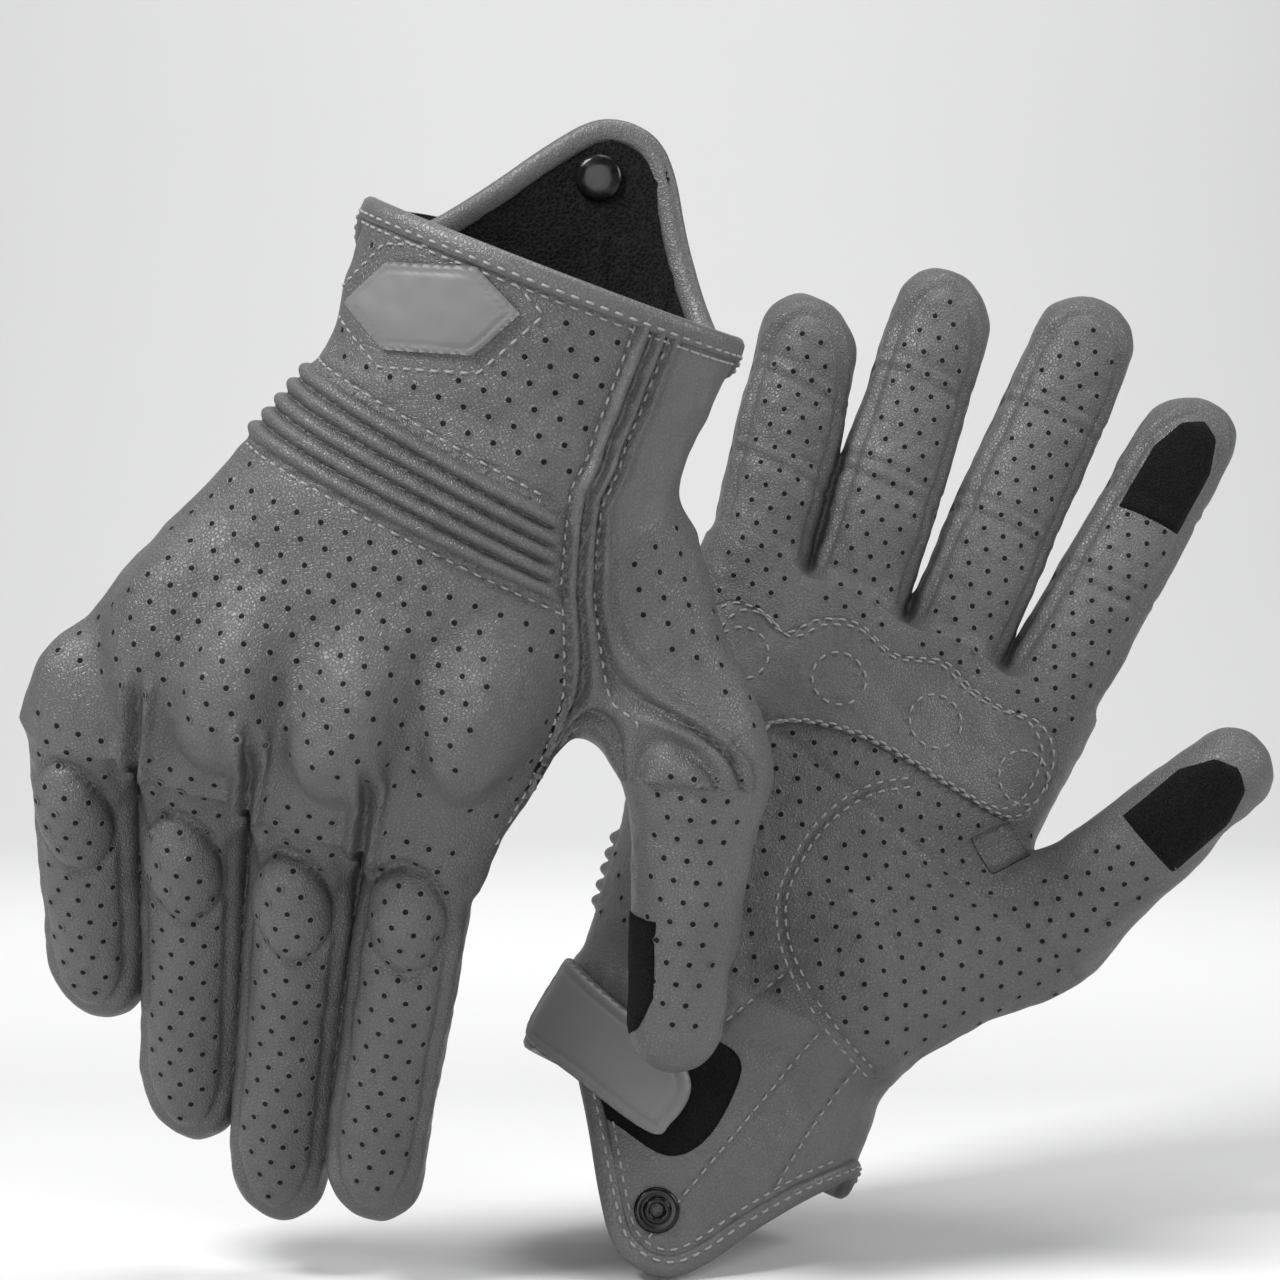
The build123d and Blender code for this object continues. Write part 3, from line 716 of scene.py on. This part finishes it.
def add_stitches(stock, path, normals, slot):
    """A row of separate thread stitches that dip into the leather at both ends."""
    if len(path) < 3:
        return
    both = respace(np.concatenate([path, normals], 1), SEAM_STEP)
    path, normals = both[:, :3], both[:, 3:]
    side, up = frames_along(path, normals)
    pitch = max(1, int(round((STITCH + STITCH_GAP) / SEAM_STEP)))
    for start in range(0, len(path) - pitch, pitch):
        picks = start + np.linspace(0, STITCH / SEAM_STEP, 5).astype(int)
        rings = []
        for k, i in enumerate(picks):
            lift, size = ((-0.25, 0.5), (0.12, 1.0), (0.2, 1.0), (0.12, 1.0), (-0.25, 0.5))[k]
            for a in range(6):
                c, s = math.cos(a * math.pi / 3), math.sin(a * math.pi / 3)
                rings.append(path[i] + up[i] * (lift + s * THREAD_R * size) + side[i] * c * THREAD_R * size)
        stock.add(rings, tube_faces(5, 6), slot)


HOLE_R, HOLE_SIDES = 0.62, 10


def add_hole(stock, place, normal, rim_slot, pit_shade_slot):
    """One punched hole: a worn lip round a dark disc, which is painted shade standing in for the hole's shaded depth
    over the glove's dark inside.
    """
    first = np.cross(normal, (0.3, 0.2, 0.93))
    first /= np.linalg.norm(first)
    second = np.cross(normal, first)
    turn = np.arange(HOLE_SIDES) * 2 * math.pi / HOLE_SIDES
    ring = np.cos(turn)[:, None] * first + np.sin(turn)[:, None] * second
    rings = [place + ring * r + normal * h for r, h in ((1.25, -0.02), (0.92, 0.16), (HOLE_R, 0.05))]
    stock.add(np.concatenate(rings), tube_faces(3, HOLE_SIDES), rim_slot)
    # the dark disc: painted shade for the inside of the hole, laid just above the leather
    stock.add(place + ring * HOLE_R + normal * 0.06, [tuple(range(HOLE_SIDES))], pit_shade_slot)


def within(points, corners):
    """Whether flat points lie inside a polygon."""
    corners = np.asarray(corners)
    following = np.roll(corners, -1, 0)
    hit = (corners[None, :, 1] > points[:, None, 1]) != (following[None, :, 1] > points[:, None, 1])
    rise = np.where(following[:, 1] == corners[:, 1], 1e-9, following[:, 1] - corners[:, 1])
    cut = corners[None, :, 0] + (points[:, None, 1] - corners[None, :, 1]) / rise * (following - corners)[None, :, 0]
    return (hit & (points[:, None, 0] < cut)).sum(1) % 2 == 1


PLATE_EDGE = 0.9      # how far in from its outline a laid piece is rounded over


def make_plate(place, outline, thick, grid, groove):
    """A flat piece laid on the glove: its outline is filled with a grid, dropped on the leather by
    place(points) -> (points, normals), thickened, and rounded over at its edge."""
    border = respace(np.concatenate([outline, outline[:1]]), grid)[:-1]
    low, high = border.min(0), border.max(0)
    gx, gz = np.meshgrid(np.arange(low[0], high[0], grid), np.arange(low[1], high[1], grid))
    inner = np.stack([gx.ravel(), gz.ravel()], 1)
    distance = np.min(np.linalg.norm(inner[:, None] - border[None], axis=2), axis=1)
    keep = within(inner, border) & (distance > grid * 0.6)
    flat = np.concatenate([border, inner[keep]])
    depth = np.concatenate([np.zeros(len(border)), distance[keep]])
    loop = list(range(len(border)))
    verts, _, faces, *_ = delaunay_2d_cdt([Vector(p) for p in flat], [], [loop], 1, 1e-5)
    points, normals, good = place(np.array([tuple(v) for v in verts]))
    lift = thick * (0.35 + 0.65 * np.sqrt(np.clip(depth / PLATE_EDGE, 0, 1)))
    if groove:
        lift -= 0.5 * ripple(depth, groove, 0.4)
    top = points + normals * lift[:, None]
    count = len(top)
    stock = Stock()
    skirt = points[loop] - normals[loop] * 0.3
    stock.add(np.concatenate([top, skirt]), list(faces) + [
        (a, (a + 1) % len(loop), count + (a + 1) % len(loop), count + a)[::-1] for a in loop])
    return stock


# ---- One glove -----------------------------------------------------------------------------------
# A glove is cut and sewn from goat leather panels, then edged, lined, and given its stud, strap and
# patches. Both gloves are made by the same steps in two poses.
HAND_NODES = ["back_panel", "flex_panel", "cuff_back", "side_panel", "palm_panel", "cuff_palm", "thumb_base"]


def cuff_limit(glove, points):
    """Where the cuff ends, along the hand: straight on the back, pointed on the palm side."""
    _, cy, _, deep = hand_size(glove.name, points[..., 2])
    share = step((points[..., 1] - cy) / deep, -0.30, 0.12)
    return cuff_edge(points[..., 0]) * (1 - share) - CUFF_LENGTH * share


def sew_panels(glove, points, quads):
    """Which sewn panel each face belongs to."""
    middle = points[quads].mean(1)
    angle, (x, z) = around(glove, middle), (middle[:, 0], middle[:, 2])
    low, high = flex_edges(x)
    back = (angle > side_seam(z)) & (angle < 180)
    label = np.full(len(quads), "palm_panel", dtype=object)
    label[z < WRIST] = "cuff_palm"
    side = (angle > -18) & (angle <= side_seam(z))
    label[side] = "side_panel"
    label[back & (z > high)] = "back_panel"
    label[back & (z <= high)] = "flex_panel"
    label[back & (z < low)] = "cuff_back"
    thumb = glove.digits["thumb"]
    end = np.array(glove.pose["thumb"])
    along = (middle - end) @ thumb[1][2]
    cx, cy, wide, deep = hand_size(glove.name, z)
    outside = ((x - cx) / (wide + 2)) ** 2 + ((middle[:, 1] - cy) / (deep + 2)) ** 2 > 1
    label[outside & (angle > -75) & (angle < 60) & (z > 5) & (z < 92) & (x > cx)] = "thumb_base"
    on_thumb = (digit_field(thumb, middle) < 4) & (along > -6) & outside
    up = digit_coords(thumb, middle)[1]
    label[on_thumb & (up >= 0)] = "thumb_back"
    label[on_thumb & (up < 0)] = "thumb_front"
    across = np.stack([np.abs(digit_coords(glove.digits[f], middle)[0]) for f in FINGERS])
    nearest = across.argmin(0)
    for i, finger in enumerate(FINGERS):
        _, up, along, _, _ = digit_coords(glove.digits[finger], middle)
        mine = (nearest == i) & (along > -14) & (z > 82) & ~on_thumb
        label[mine & (up >= 0)] = f"{finger}_back"
        label[mine & (up < 0)] = f"{finger}_front"
    return label


def split_faces(points, normals, quads):
    """Four quads for each of these: the quads, the new points and normals, and for each new point on
    the outer border the two old points it must stay between (else -1)."""
    count, edges, uses = len(points), {}, {}
    for quad in quads.tolist():
        for a, b in zip(quad, quad[1:] + quad[:1]):
            key = (min(a, b), max(a, b))
            edges.setdefault(key, count + len(edges))
            uses[key] = uses.get(key, 0) + 1
    base = count + len(edges)
    out = []
    for i, quad in enumerate(quads.tolist()):
        mid = [edges[min(a, b), max(a, b)] for a, b in zip(quad, quad[1:] + quad[:1])]
        out += [(quad[k], mid[k], base + i, mid[k - 1]) for k in range(4)]
    keys = np.array(list(edges))
    new = np.concatenate([points[keys].mean(1), points[quads].mean(1)])
    facing = np.concatenate([normals[keys].mean(1), normals[quads].mean(1)])
    pinned = np.full((len(new), 2), -1)
    border = np.array([uses[tuple(key)] == 1 for key in keys.tolist()])
    pinned[:len(keys)][border] = keys[border]
    return np.array(out), new, facing / np.linalg.norm(facing, axis=1, keepdims=True), pinned


WRINKLE_SEED = {"near": 3.0, "far": 41.0}


class Leather:
    """A glove's finished surface, which other pieces are laid on."""

    def __init__(self, glove):
        self.glove = glove
        points, quads, normals = make_skin(glove)
        height = self.height(points, normals)
        keep = (points[quads][..., 2] > cuff_limit(glove, points)[quads] + 0.8).all(1)
        quads = quads[keep]
        labels = sew_panels(glove, points, quads)
        self.points = points + normals * height[:, None]
        self.normals = self.shade(points, normals, height)
        # the ribs are finer than the grid: their panel has four faces for one
        ribbed = labels == "flex_panel"
        fine, more_points, more_normals, pinned = split_faces(points, normals, quads[ribbed])
        rise = self.height(more_points, more_normals)
        place = more_points + more_normals * rise[:, None]
        held = pinned[:, 0] >= 0
        place[held] = (self.points[pinned[held, 0]] + self.points[pinned[held, 1]]) / 2
        self.plain = np.concatenate([points, more_points])
        self.points = np.concatenate([self.points, place])
        self.normals = np.concatenate([self.normals, self.shade(more_points, more_normals, rise)])
        self.quads = np.concatenate([quads[~ribbed], fine])
        self.labels = np.concatenate([labels[~ribbed], np.full(len(fine), "flex_panel", dtype=object)])
        self.facing = self.normals[self.quads].mean(1)
        self.tree = BVHTree.FromPolygons(self.points.tolist(), self.quads.tolist())
        self.stocks = {}

    def height(self, points, normals):
        return relief(self.glove, points, normals) + wrinkles(points, WRINKLE_SEED[self.glove.name])

    def shade(self, points, normals, height):
        """Normals of the raised surface, from how its height changes a little way to either side."""
        first = np.cross(normals, (0.31, 0.17, 0.93))
        first /= np.linalg.norm(first, axis=1, keepdims=True)
        second = np.cross(normals, first)
        slope = 0
        for way in (first, second):
            ahead = self.height(points + way * 0.35, normals) - self.height(points - way * 0.35, normals)
            slope = slope + way * (ahead / 0.7)[:, None]
        tilted = normals - slope
        return tilted / np.linalg.norm(tilted, axis=1, keepdims=True)

    def cast(self, starts, directions):
        """Where rays land: points, normals and panel names. A miss takes the nearest point, and None for a name."""
        points, normals, labels = [], [], []
        for start, direction in zip(starts, directions):
            hit, _, index, _ = self.tree.ray_cast(Vector(start), Vector(direction), 160)
            if hit is None:
                hit, _, index, _ = self.tree.find_nearest(Vector(start) + Vector(direction) * 40)
                labels.append(None)
            else:
                labels.append(self.labels[index])
            points.append(hit)
            normals.append(self.facing[index])
        normals = np.array(normals)
        return np.array(points), normals / np.linalg.norm(normals, axis=1, keepdims=True), labels

    def palm(self, flat):
        starts = np.stack([flat[:, 0], np.full(len(flat), -85.0), flat[:, 1]], 1)
        return self.cast(starts, np.tile((0.0, 1.0, 0.0), (len(flat), 1)))

    def back(self, flat):
        starts = np.stack([flat[:, 0], np.full(len(flat), 75.0), flat[:, 1]], 1)
        return self.cast(starts, np.tile((0.0, -1.0, 0.0), (len(flat), 1)))

    def rim(self, flat):
        """flat is angle round the hand and z."""
        cx, cy, wide, deep = hand_size(self.glove.name, flat[:, 1])
        turn = flat[:, 0] * DEG
        out = np.stack([np.cos(turn) * deep, np.sin(turn) * wide, np.zeros(len(flat))], 1)
        out /= np.linalg.norm(out, axis=1, keepdims=True)
        on = np.stack([cx + wide * np.cos(turn), cy + deep * np.sin(turn), flat[:, 1]], 1)
        return self.cast(on + out * 25, -out)

    def digit(self, name, turn):
        """Lands on a finger from one side (90 its back, -90 its palm side); flat is across and along."""
        digit, c, d = self.glove.digits[name], math.cos(turn * DEG), math.sin(turn * DEG)

        def place(flat):
            starts = digit_point(digit, 22 * c - flat[:, 0] * d, 22 * d + flat[:, 0] * c, flat[:, 1])
            return self.cast(starts, np.tile(-c * digit[1][0] - d * digit[1][1], (len(flat), 1)))
        return place

    def stock(self, label):
        if label not in self.stocks:
            self.stocks[label] = Stock()
        return self.stocks[label]

    def sew(self, place, line):
        """A row of stitches along a line."""
        dense = respace(line, 1.0)
        points, normals, labels = place(dense)
        jump = np.concatenate([[0], np.linalg.norm(np.diff(points, axis=0), axis=1)])
        start = 0
        for i in range(1, len(points) + 1):
            if i == len(points) or labels[i] != labels[i - 1] or jump[i] > 6 or labels[i] is None:
                if labels[start] is not None:
                    add_stitches(self.stock(labels[start]), points[start:i], normals[start:i], 2)
                start = i

    def punch(self, place, flat, allowed):
        points, normals, labels = place(flat)
        for point, normal, label in zip(points, normals, labels):
            if label is not None and allowed(point, normal, label):
                add_hole(self.stock(label), point, normal, 0, 1)


def lattice(low, high, pitch=5.5, row=4.7):
    """Staggered rows of places."""
    out = []
    for k, z in enumerate(np.arange(low[1], high[1], row)):
        out += [(x + (k % 2) * pitch / 2, z) for x in np.arange(low[0], high[0], pitch)]
    return np.array(out)


def badge_line(grow=0.0):
    half, rise, flat, turn = 19 + grow * 1.3, 9 + grow, 9.5 + grow * 0.3, -18 * DEG
    corners = [(-half, 0), (-flat, rise), (flat, rise), (half, 0), (flat, -rise), (-flat, -rise)]
    return np.array([(-20 + x * math.cos(turn) - y * math.sin(turn), -12 + x * math.sin(turn) + y * math.cos(turn))
                     for x, y in corners])


PATCH = [(-45, 60), (-45, 84), (-37, 89), (-28, 86), (-21, 93), (-12, 96), (-1, 93), (11, 97), (20, 94),
         (29, 93), (39, 94), (46, 88), (46, 76), (40, 69), (24, 69), (11, 70), (-2, 70), (-13, 68),
         (-22, 64), (-28, 58)]


def drifted(glove, line):
    """A line on the palm, moved across as the hand leans."""
    return line + np.stack([drift_at(glove, line[:, 1]), np.zeros(len(line))], 1)


def beside(line, offset):
    """The same flat line, moved square to itself."""
    slope = np.gradient(line, axis=0)
    side = np.stack([-slope[:, 1], slope[:, 0]], 1) / np.linalg.norm(slope, axis=1, keepdims=True)
    return line + side * offset


def palm_patch_line(glove, grow=0.0):
    line = drifted(glove, curved(PATCH, closed=True, steps=6))
    middle = line.mean(0)
    return middle + (line - middle) * (1 + grow / 30)


def punch_glove(skin):
    """All punched holes: on the back, over the thumb's mound, in the palm and along the digits."""
    glove = skin.glove

    def free_on_back(point, normal, label):
        x, z = point[0], point[2]
        low, high = flex_edges(x)
        angle = around(glove, np.array(point))
        span = (side_seam(z) - angle) * DEG * SIDE_RADIUS
        if normal[1] < 0.3:
            return False
        if label == "thumb_base":
            return span > 17
        return (label in ("back_panel", "cuff_back") and span < -2.5 and angle < 174 and not low - 4 < z < high + 4
                and z > -21 and z < 88 and not within(np.array([[x, z]]), badge_line(4.5))[0])

    def free_in_palm(point, normal, label):
        flat = np.array([[point[0], point[2]]])
        if normal[1] > -0.3 or label not in ("palm_panel", "thumb_base") or point[2] < 8 or point[2] > 90:
            return False
        line = drifted(glove, curved(CRESCENT))
        clear = line_distance(flat[:, 0], flat[:, 1], line)[0] > 3.2
        return clear and not within(flat, palm_patch_line(glove, 2.5))[0]

    skin.punch(skin.back, lattice((-78, -24), (78, 96)), free_on_back)
    skin.punch(skin.palm, lattice((-78, 8), (88, 92)), free_in_palm)
    for name in FINGERS + ["thumb"]:
        digit = glove.digits[name]
        wide, long = digit[3] / 2, digit[2]
        touch = long - 34 if name in ("index", "thumb") else long
        for sign in (1, -1):
            def free(point, normal, label, sign=sign):
                _, up, along, _, _ = digit_coords(digit, np.array(point))
                if not label.startswith(name) or (sign < 0 and along > touch - 2):
                    return False
                square = sign * (normal @ digit[1][1]) > 0.45
                return square and panel_border(digit, np.array([point]))[0] < -1.5 and up * sign > 0
            spots = lattice((-wide, -9 if name != "thumb" else -4), (wide, long - 4), 4.9, 4.6)
            skin.punch(skin.digit(name, 90 * sign), spots, free)


def ring_line(middle, radius):
    turn = np.linspace(0, 2 * math.pi, 40)
    return np.stack([middle[0] + radius * np.cos(turn), middle[1] + radius * np.sin(turn)], 1)


def stitch_glove(skin):
    """All sewn rows."""
    glove = skin.glove
    turn = np.linspace(-16, 196, 90)
    skin.sew(skin.rim, np.stack([turn, np.full(90, -CUFF_LENGTH + 5.2)], 1))
    x = np.linspace(-38, 39, 70)
    skin.sew(skin.palm, beside(np.stack([x, cuff_edge(x)], 1), 5.6))
    x = np.linspace(-56, 30, 60)
    low, high = flex_edges(x)
    for z in (low - 1.6, high + 1.6):
        line = np.stack([x, z], 1)
        angle = around(glove, np.stack([x, np.full(60, 20.0), z], 1))
        skin.sew(skin.back, line[(angle > side_seam(z) + 3) & (angle < 172)])
    skin.sew(skin.back, np.concatenate([badge_line(3.6), badge_line(3.6)[:1]]))
    z = np.linspace(-24, 94, 110)
    for offset in (1.0, -9.3):
        turn = side_seam(z) + offset / (DEG * SIDE_RADIUS)
        skin.sew(skin.rim, np.stack([turn, z], 1)[: 110 if offset > 0 else 78])
    for grow in (-1.2, -3.2):
        skin.sew(skin.palm, palm_patch_line(glove, grow))
    for offset in (-1.1, 1.1):
        skin.sew(skin.palm, beside(drifted(glove, curved(CRESCENT)), offset))
    for row in QUILTING:
        skin.sew(skin.palm, curved(row))


def sidewall(digit):
    """The strip that joins a finger's two halves, drawn as one closed tube just under the leather."""
    sides = 32
    turn = np.arange(sides) * 2 * math.pi / sides
    dome = digit[4] / 2
    alongs = np.concatenate([np.arange(1, digit[2] - dome, 3.0),
                             digit[2] - dome * (1 - np.sin(np.linspace(0.05, 1.45, 8)))])
    rings = []
    for along in alongs:
        _, _, _, wide, deep = digit_coords(digit, digit_point(digit, np.zeros(1), np.zeros(1), np.array([along])))
        close = math.sqrt(max(0.02, 1 - (max(0.0, along - digit[2] + deep[0]) / deep[0]) ** 2))
        rings.append(digit_point(digit, (wide - 1.1) * close * np.cos(turn), (deep - 1.1) * close * np.sin(turn),
                                 np.full(sides, along)))
    cap = tuple(range((len(rings) - 1) * sides, len(rings) * sides))
    return np.concatenate(rings), tube_faces(len(rings), sides) + [cap]


BEND_BEHIND, THUMB_BEND_BEHIND, BEND_AHEAD = 8, 4, 12.0      # where a finger's bend starts and ends, in mm


def fit(glove, piece, label, body):
    """Puts a piece in place of its node, whose CAD mesh is hidden. One on the hand or strap rides on that body; one
    on a finger is baked where it stands and joins no body.
    """
    hand, node = f"{glove.name}_hand", f"{glove.name}_{label}"
    if body in ("hand", "strap"):
        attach(piece, f"{glove.name}_{body}")
    else:
        root, axes, *_ = glove.digits[body]
        start = root - axes[2] * (THUMB_BEND_BEHIND if body == "thumb" else BEND_BEHIND)
        end = root + axes[2] * BEND_AHEAD
        glove.world(start)
        glove.world(end)
        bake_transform(piece)
    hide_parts(node)


def make_panels(skin):
    """Every leather panel, with its own holes and stitches."""
    glove = skin.glove
    for label in sorted(set(skin.labels)):
        faces = skin.quads[skin.labels == label]
        used, local = np.unique(faces, return_inverse=True)
        stock = Stock()
        stock.add(skin.points[used], local.reshape(-1, 4))
        extra = skin.stocks.get(label)
        if extra:
            stock.merge(extra)
        if label.endswith("_front"):
            stock.add(*sidewall(glove.digits[label.split("_")[0]]), 3)
        surface = SMOOTH if label in ("cuff_palm", "side_panel") else LEATHER
        # slot 1 is the painted shade in the punched holes
        piece = stock.build(glove, f"{glove.name}_{label}_leather", [surface, HOLE_SHADE, THREAD, SMOOTH],
                            skin.normals[used])
        fit(glove, piece, label, "hand" if label in HAND_NODES else label.split("_")[0])


def lay(skin, label, material, place, outline, thick, body="hand", stitch_rows=(), grid=1.4, groove=0.0):
    """A piece laid on the leather, with its own stitch rows."""
    glove = skin.glove
    stock = make_plate(place, np.asarray(outline, float), thick, grid, groove)
    for line in stitch_rows:
        dense = respace(line, 0.8)
        on, facing, _ = place(dense)
        add_stitches(stock, on + facing * (thick + 0.05), facing, 1)
    piece = stock.build(glove, f"{glove.name}_{label}_piece", [material, THREAD])
    fit(glove, piece, label, body)


def make_binding(skin):
    """The cuff's edge: a strip of leather folded over and sewn, standing a little proud."""
    glove = skin.glove
    turn = np.linspace(0, 360, 361)[:-1]
    z = np.full(360, -CUFF_LENGTH)
    for _ in range(6):
        cx, cy, wide, deep = hand_size(glove.name, z)
        on = np.stack([cx + wide * np.cos(turn * DEG), cy + deep * np.sin(turn * DEG), z], 1)
        z = cuff_limit(glove, on)
    path = respace(np.concatenate([on, on[:1]]), 1.2)[:-1]
    cx, cy, wide, deep = hand_size(glove.name, path[:, 2])
    out = np.stack([(path[:, 0] - cx) / wide ** 2, (path[:, 1] - cy) / deep ** 2, np.zeros(len(path))], 1)
    out /= np.linalg.norm(out, axis=1, keepdims=True)
    tangent = np.roll(path, -1, 0) - np.roll(path, 1, 0)
    tangent /= np.linalg.norm(tangent, axis=1, keepdims=True)
    into = np.cross(out, tangent)
    into *= np.sign(into[:, 2:3] + 1e-9)
    section = [(4.4, 0.1), (3.9, 0.75), (2.4, 1.05), (0.6, 0.9), (-0.3, 0.1), (-0.5, -1.0), (0.1, -2.3),
               (1.6, -2.9), (3.6, -2.8), (4.4, -2.4)]
    rings = np.stack([path + into * a + out * b for a, b in section], 1).reshape(-1, 3)
    n, m = len(path), len(section)
    faces = [(i * m + k, ((i + 1) % n) * m + k, ((i + 1) % n) * m + (k + 1) % m, i * m + (k + 1) % m)
             for i in range(n) for k in range(m)]
    stock = Stock()
    stock.add(rings, faces)
    lip = path + into * 3.1 + out * 0.95
    add_stitches(stock, np.concatenate([lip, lip[:2]]), np.concatenate([out, out[:2]]), 1)
    piece = stock.build(glove, f"{glove.name}_cuff_binding_piece", [SMOOTH, THREAD])
    fit(glove, piece, "cuff_binding", "hand")


def make_lining(skin):
    """Black knit inside the cuff and hand."""
    glove = skin.glove
    depth = 2.2
    keep = (skin.plain[skin.quads][..., 2] < 80).all(1)
    used, local = np.unique(skin.quads[keep], return_inverse=True)
    stock = Stock()
    stock.add(skin.points[used] - skin.normals[used] * depth, local.reshape(-1, 4)[:, ::-1])
    piece = stock.build(glove, f"{glove.name}_cuff_lining_piece", [KNIT])
    fit(glove, piece, "cuff_lining", "hand")


def make_snap(skin):
    """Press-stud at the cuff's point: a turned ring with a hollow post, and a cap inside."""
    glove = skin.glove
    point = skin.palm(np.array([[0.0, -49.0]]))[0][0]
    normal = np.array([0.0, -1.0, 0.0])
    sides = 48
    turn = np.arange(sides) * 2 * math.pi / sides
    stock = Stock()
    for profile, sign in (([(0.01, -0.4), (1.5, -0.4), (1.65, 2.3), (2.0, 2.9), (2.6, 2.9), (3.0, 2.3), (3.0, 1.0),
                            (3.5, 0.8), (4.1, 1.15), (4.8, 1.0), (5.2, 0.5), (5.2, -0.3)], 1),
                          ([(0.01, 1.4), (2.5, 1.35), (4.2, 1.05), (5.1, 0.5), (5.2, 0.0)], -1)):
        base = point if sign > 0 else point - normal * 3.2
        rings = np.concatenate([base + np.stack([r * np.cos(turn), np.zeros(sides), r * np.sin(turn)], 1)
                                + normal * sign * h for r, h in profile])
        stock.add(rings, [face[::sign] for face in tube_faces(len(profile), sides)])
    piece = stock.build(glove, f"{glove.name}_snap_piece", [BLACK_METAL])
    fit(glove, piece, "snap_fastener", "hand")


STRAP_START = {"near": 200, "far": 188}      # angle round the hand where the strap begins
STRAP_RADIUS = 34.5


def strap_surface(glove, lift):
    """The strap lies round the little-finger side of the wrist; flat is mm along it and z."""
    def place(flat):
        turn = (STRAP_START[glove.name] + flat[:, 0] / STRAP_RADIUS / DEG) * DEG
        cx, cy, wide, deep = hand_size(glove.name, flat[:, 1])
        on = np.stack([cx + wide * np.cos(turn), cy + deep * np.sin(turn), flat[:, 1]], 1)
        out = np.stack([np.cos(turn) / wide, np.sin(turn) / deep, np.zeros(len(flat))], 1)
        out /= np.linalg.norm(out, axis=1, keepdims=True)
        rise = lift * (0.35 + 0.65 * step(flat[:, 0], 0, 9))
        return on + out * rise[:, None], out, [None] * len(flat)
    return place


def make_strap(skin):
    """Moulded closure strap with an engraved margin, its hook patch, and the loop patch below."""
    glove = skin.glove
    corners = [(0, -24), (0, -8), (3, -5), (20, -9), (38, -14), (44, -18), (46, -23), (45, -30), (42, -34),
               (24, -30)]
    outline = curved(corners, closed=True, steps=5)
    lay(skin, "closure_strap", RUBBER, strap_surface(glove, 2.3), outline, 2.0, "strap", grid=0.7, groove=2.6)
    middle = outline.mean(0)
    lay(skin, "strap_hook", LOOP, strap_surface(glove, 1.3), middle + (outline - middle) * np.array([0.7, 0.72]),
        0.8, "strap")
    patch = [(-27, -32), (-27, -14), (-8, -9), (3, -10), (5, -20), (3, -31), (-3, -37), (-14, -36)]
    lay(skin, "loop_patch", LOOP, skin.palm, curved(patch, closed=True, steps=4), 0.8)


def make_glove(name):
    glove = Glove(name)
    skin = Leather(glove)
    punch_glove(skin)
    stitch_glove(skin)
    make_panels(skin)
    make_binding(skin)
    make_lining(skin)
    make_snap(skin)
    make_strap(skin)
    lay(skin, "badge", RUBBER, skin.back, badge_line(), 1.5, grid=0.7, groove=1.6)
    shift = drift_at(glove, 80)
    rings = [ring_line((x + shift, z), 6.4) for x, z in ((-34, 77), (-11, 81), (14, 82), (39, 80))]
    rows = rings + [palm_patch_line(glove, -1.2), palm_patch_line(glove, -3.2)]
    lay(skin, "palm_patch", SMOOTH, skin.palm, palm_patch_line(glove), 0.9, stitch_rows=rows, grid=1.2)
    x, z = 0.40 * WIDE + 0.6 * glove.pose["drift"], PALM - 35
    kite = [(x - 9, z - 2), (x - 2, z + 6), (x + 6, z + 1), (x - 1, z - 8)]
    lay(skin, "web_gusset", LEATHER, skin.palm, kite, 0.9)
    for digit in ("index", "thumb"):
        long, wide = glove.digits[digit][2], glove.digits[digit][3] / 2
        patch = [(-0.62 * wide, long - 35), (0.62 * wide, long - 35), (0.60 * wide, long - 18),
                 (0.36 * wide, long - 10), (0, long - 7.5), (-0.36 * wide, long - 10), (-0.60 * wide, long - 18)]
        turn = 172 if (name, digit) == ("near", "thumb") else -90
        lay(skin, f"{digit}_touch_patch", SUEDE, skin.digit(digit, turn), patch, 0.45, digit)
    for node in ("knuckle_guard", "palm_pads"):
        for slot in frame["nodes"][f"{name}_{node}"].material_slots:
            slot.material = RUBBER


for glove_name in POSES:
    make_glove(glove_name)

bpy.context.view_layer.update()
import json
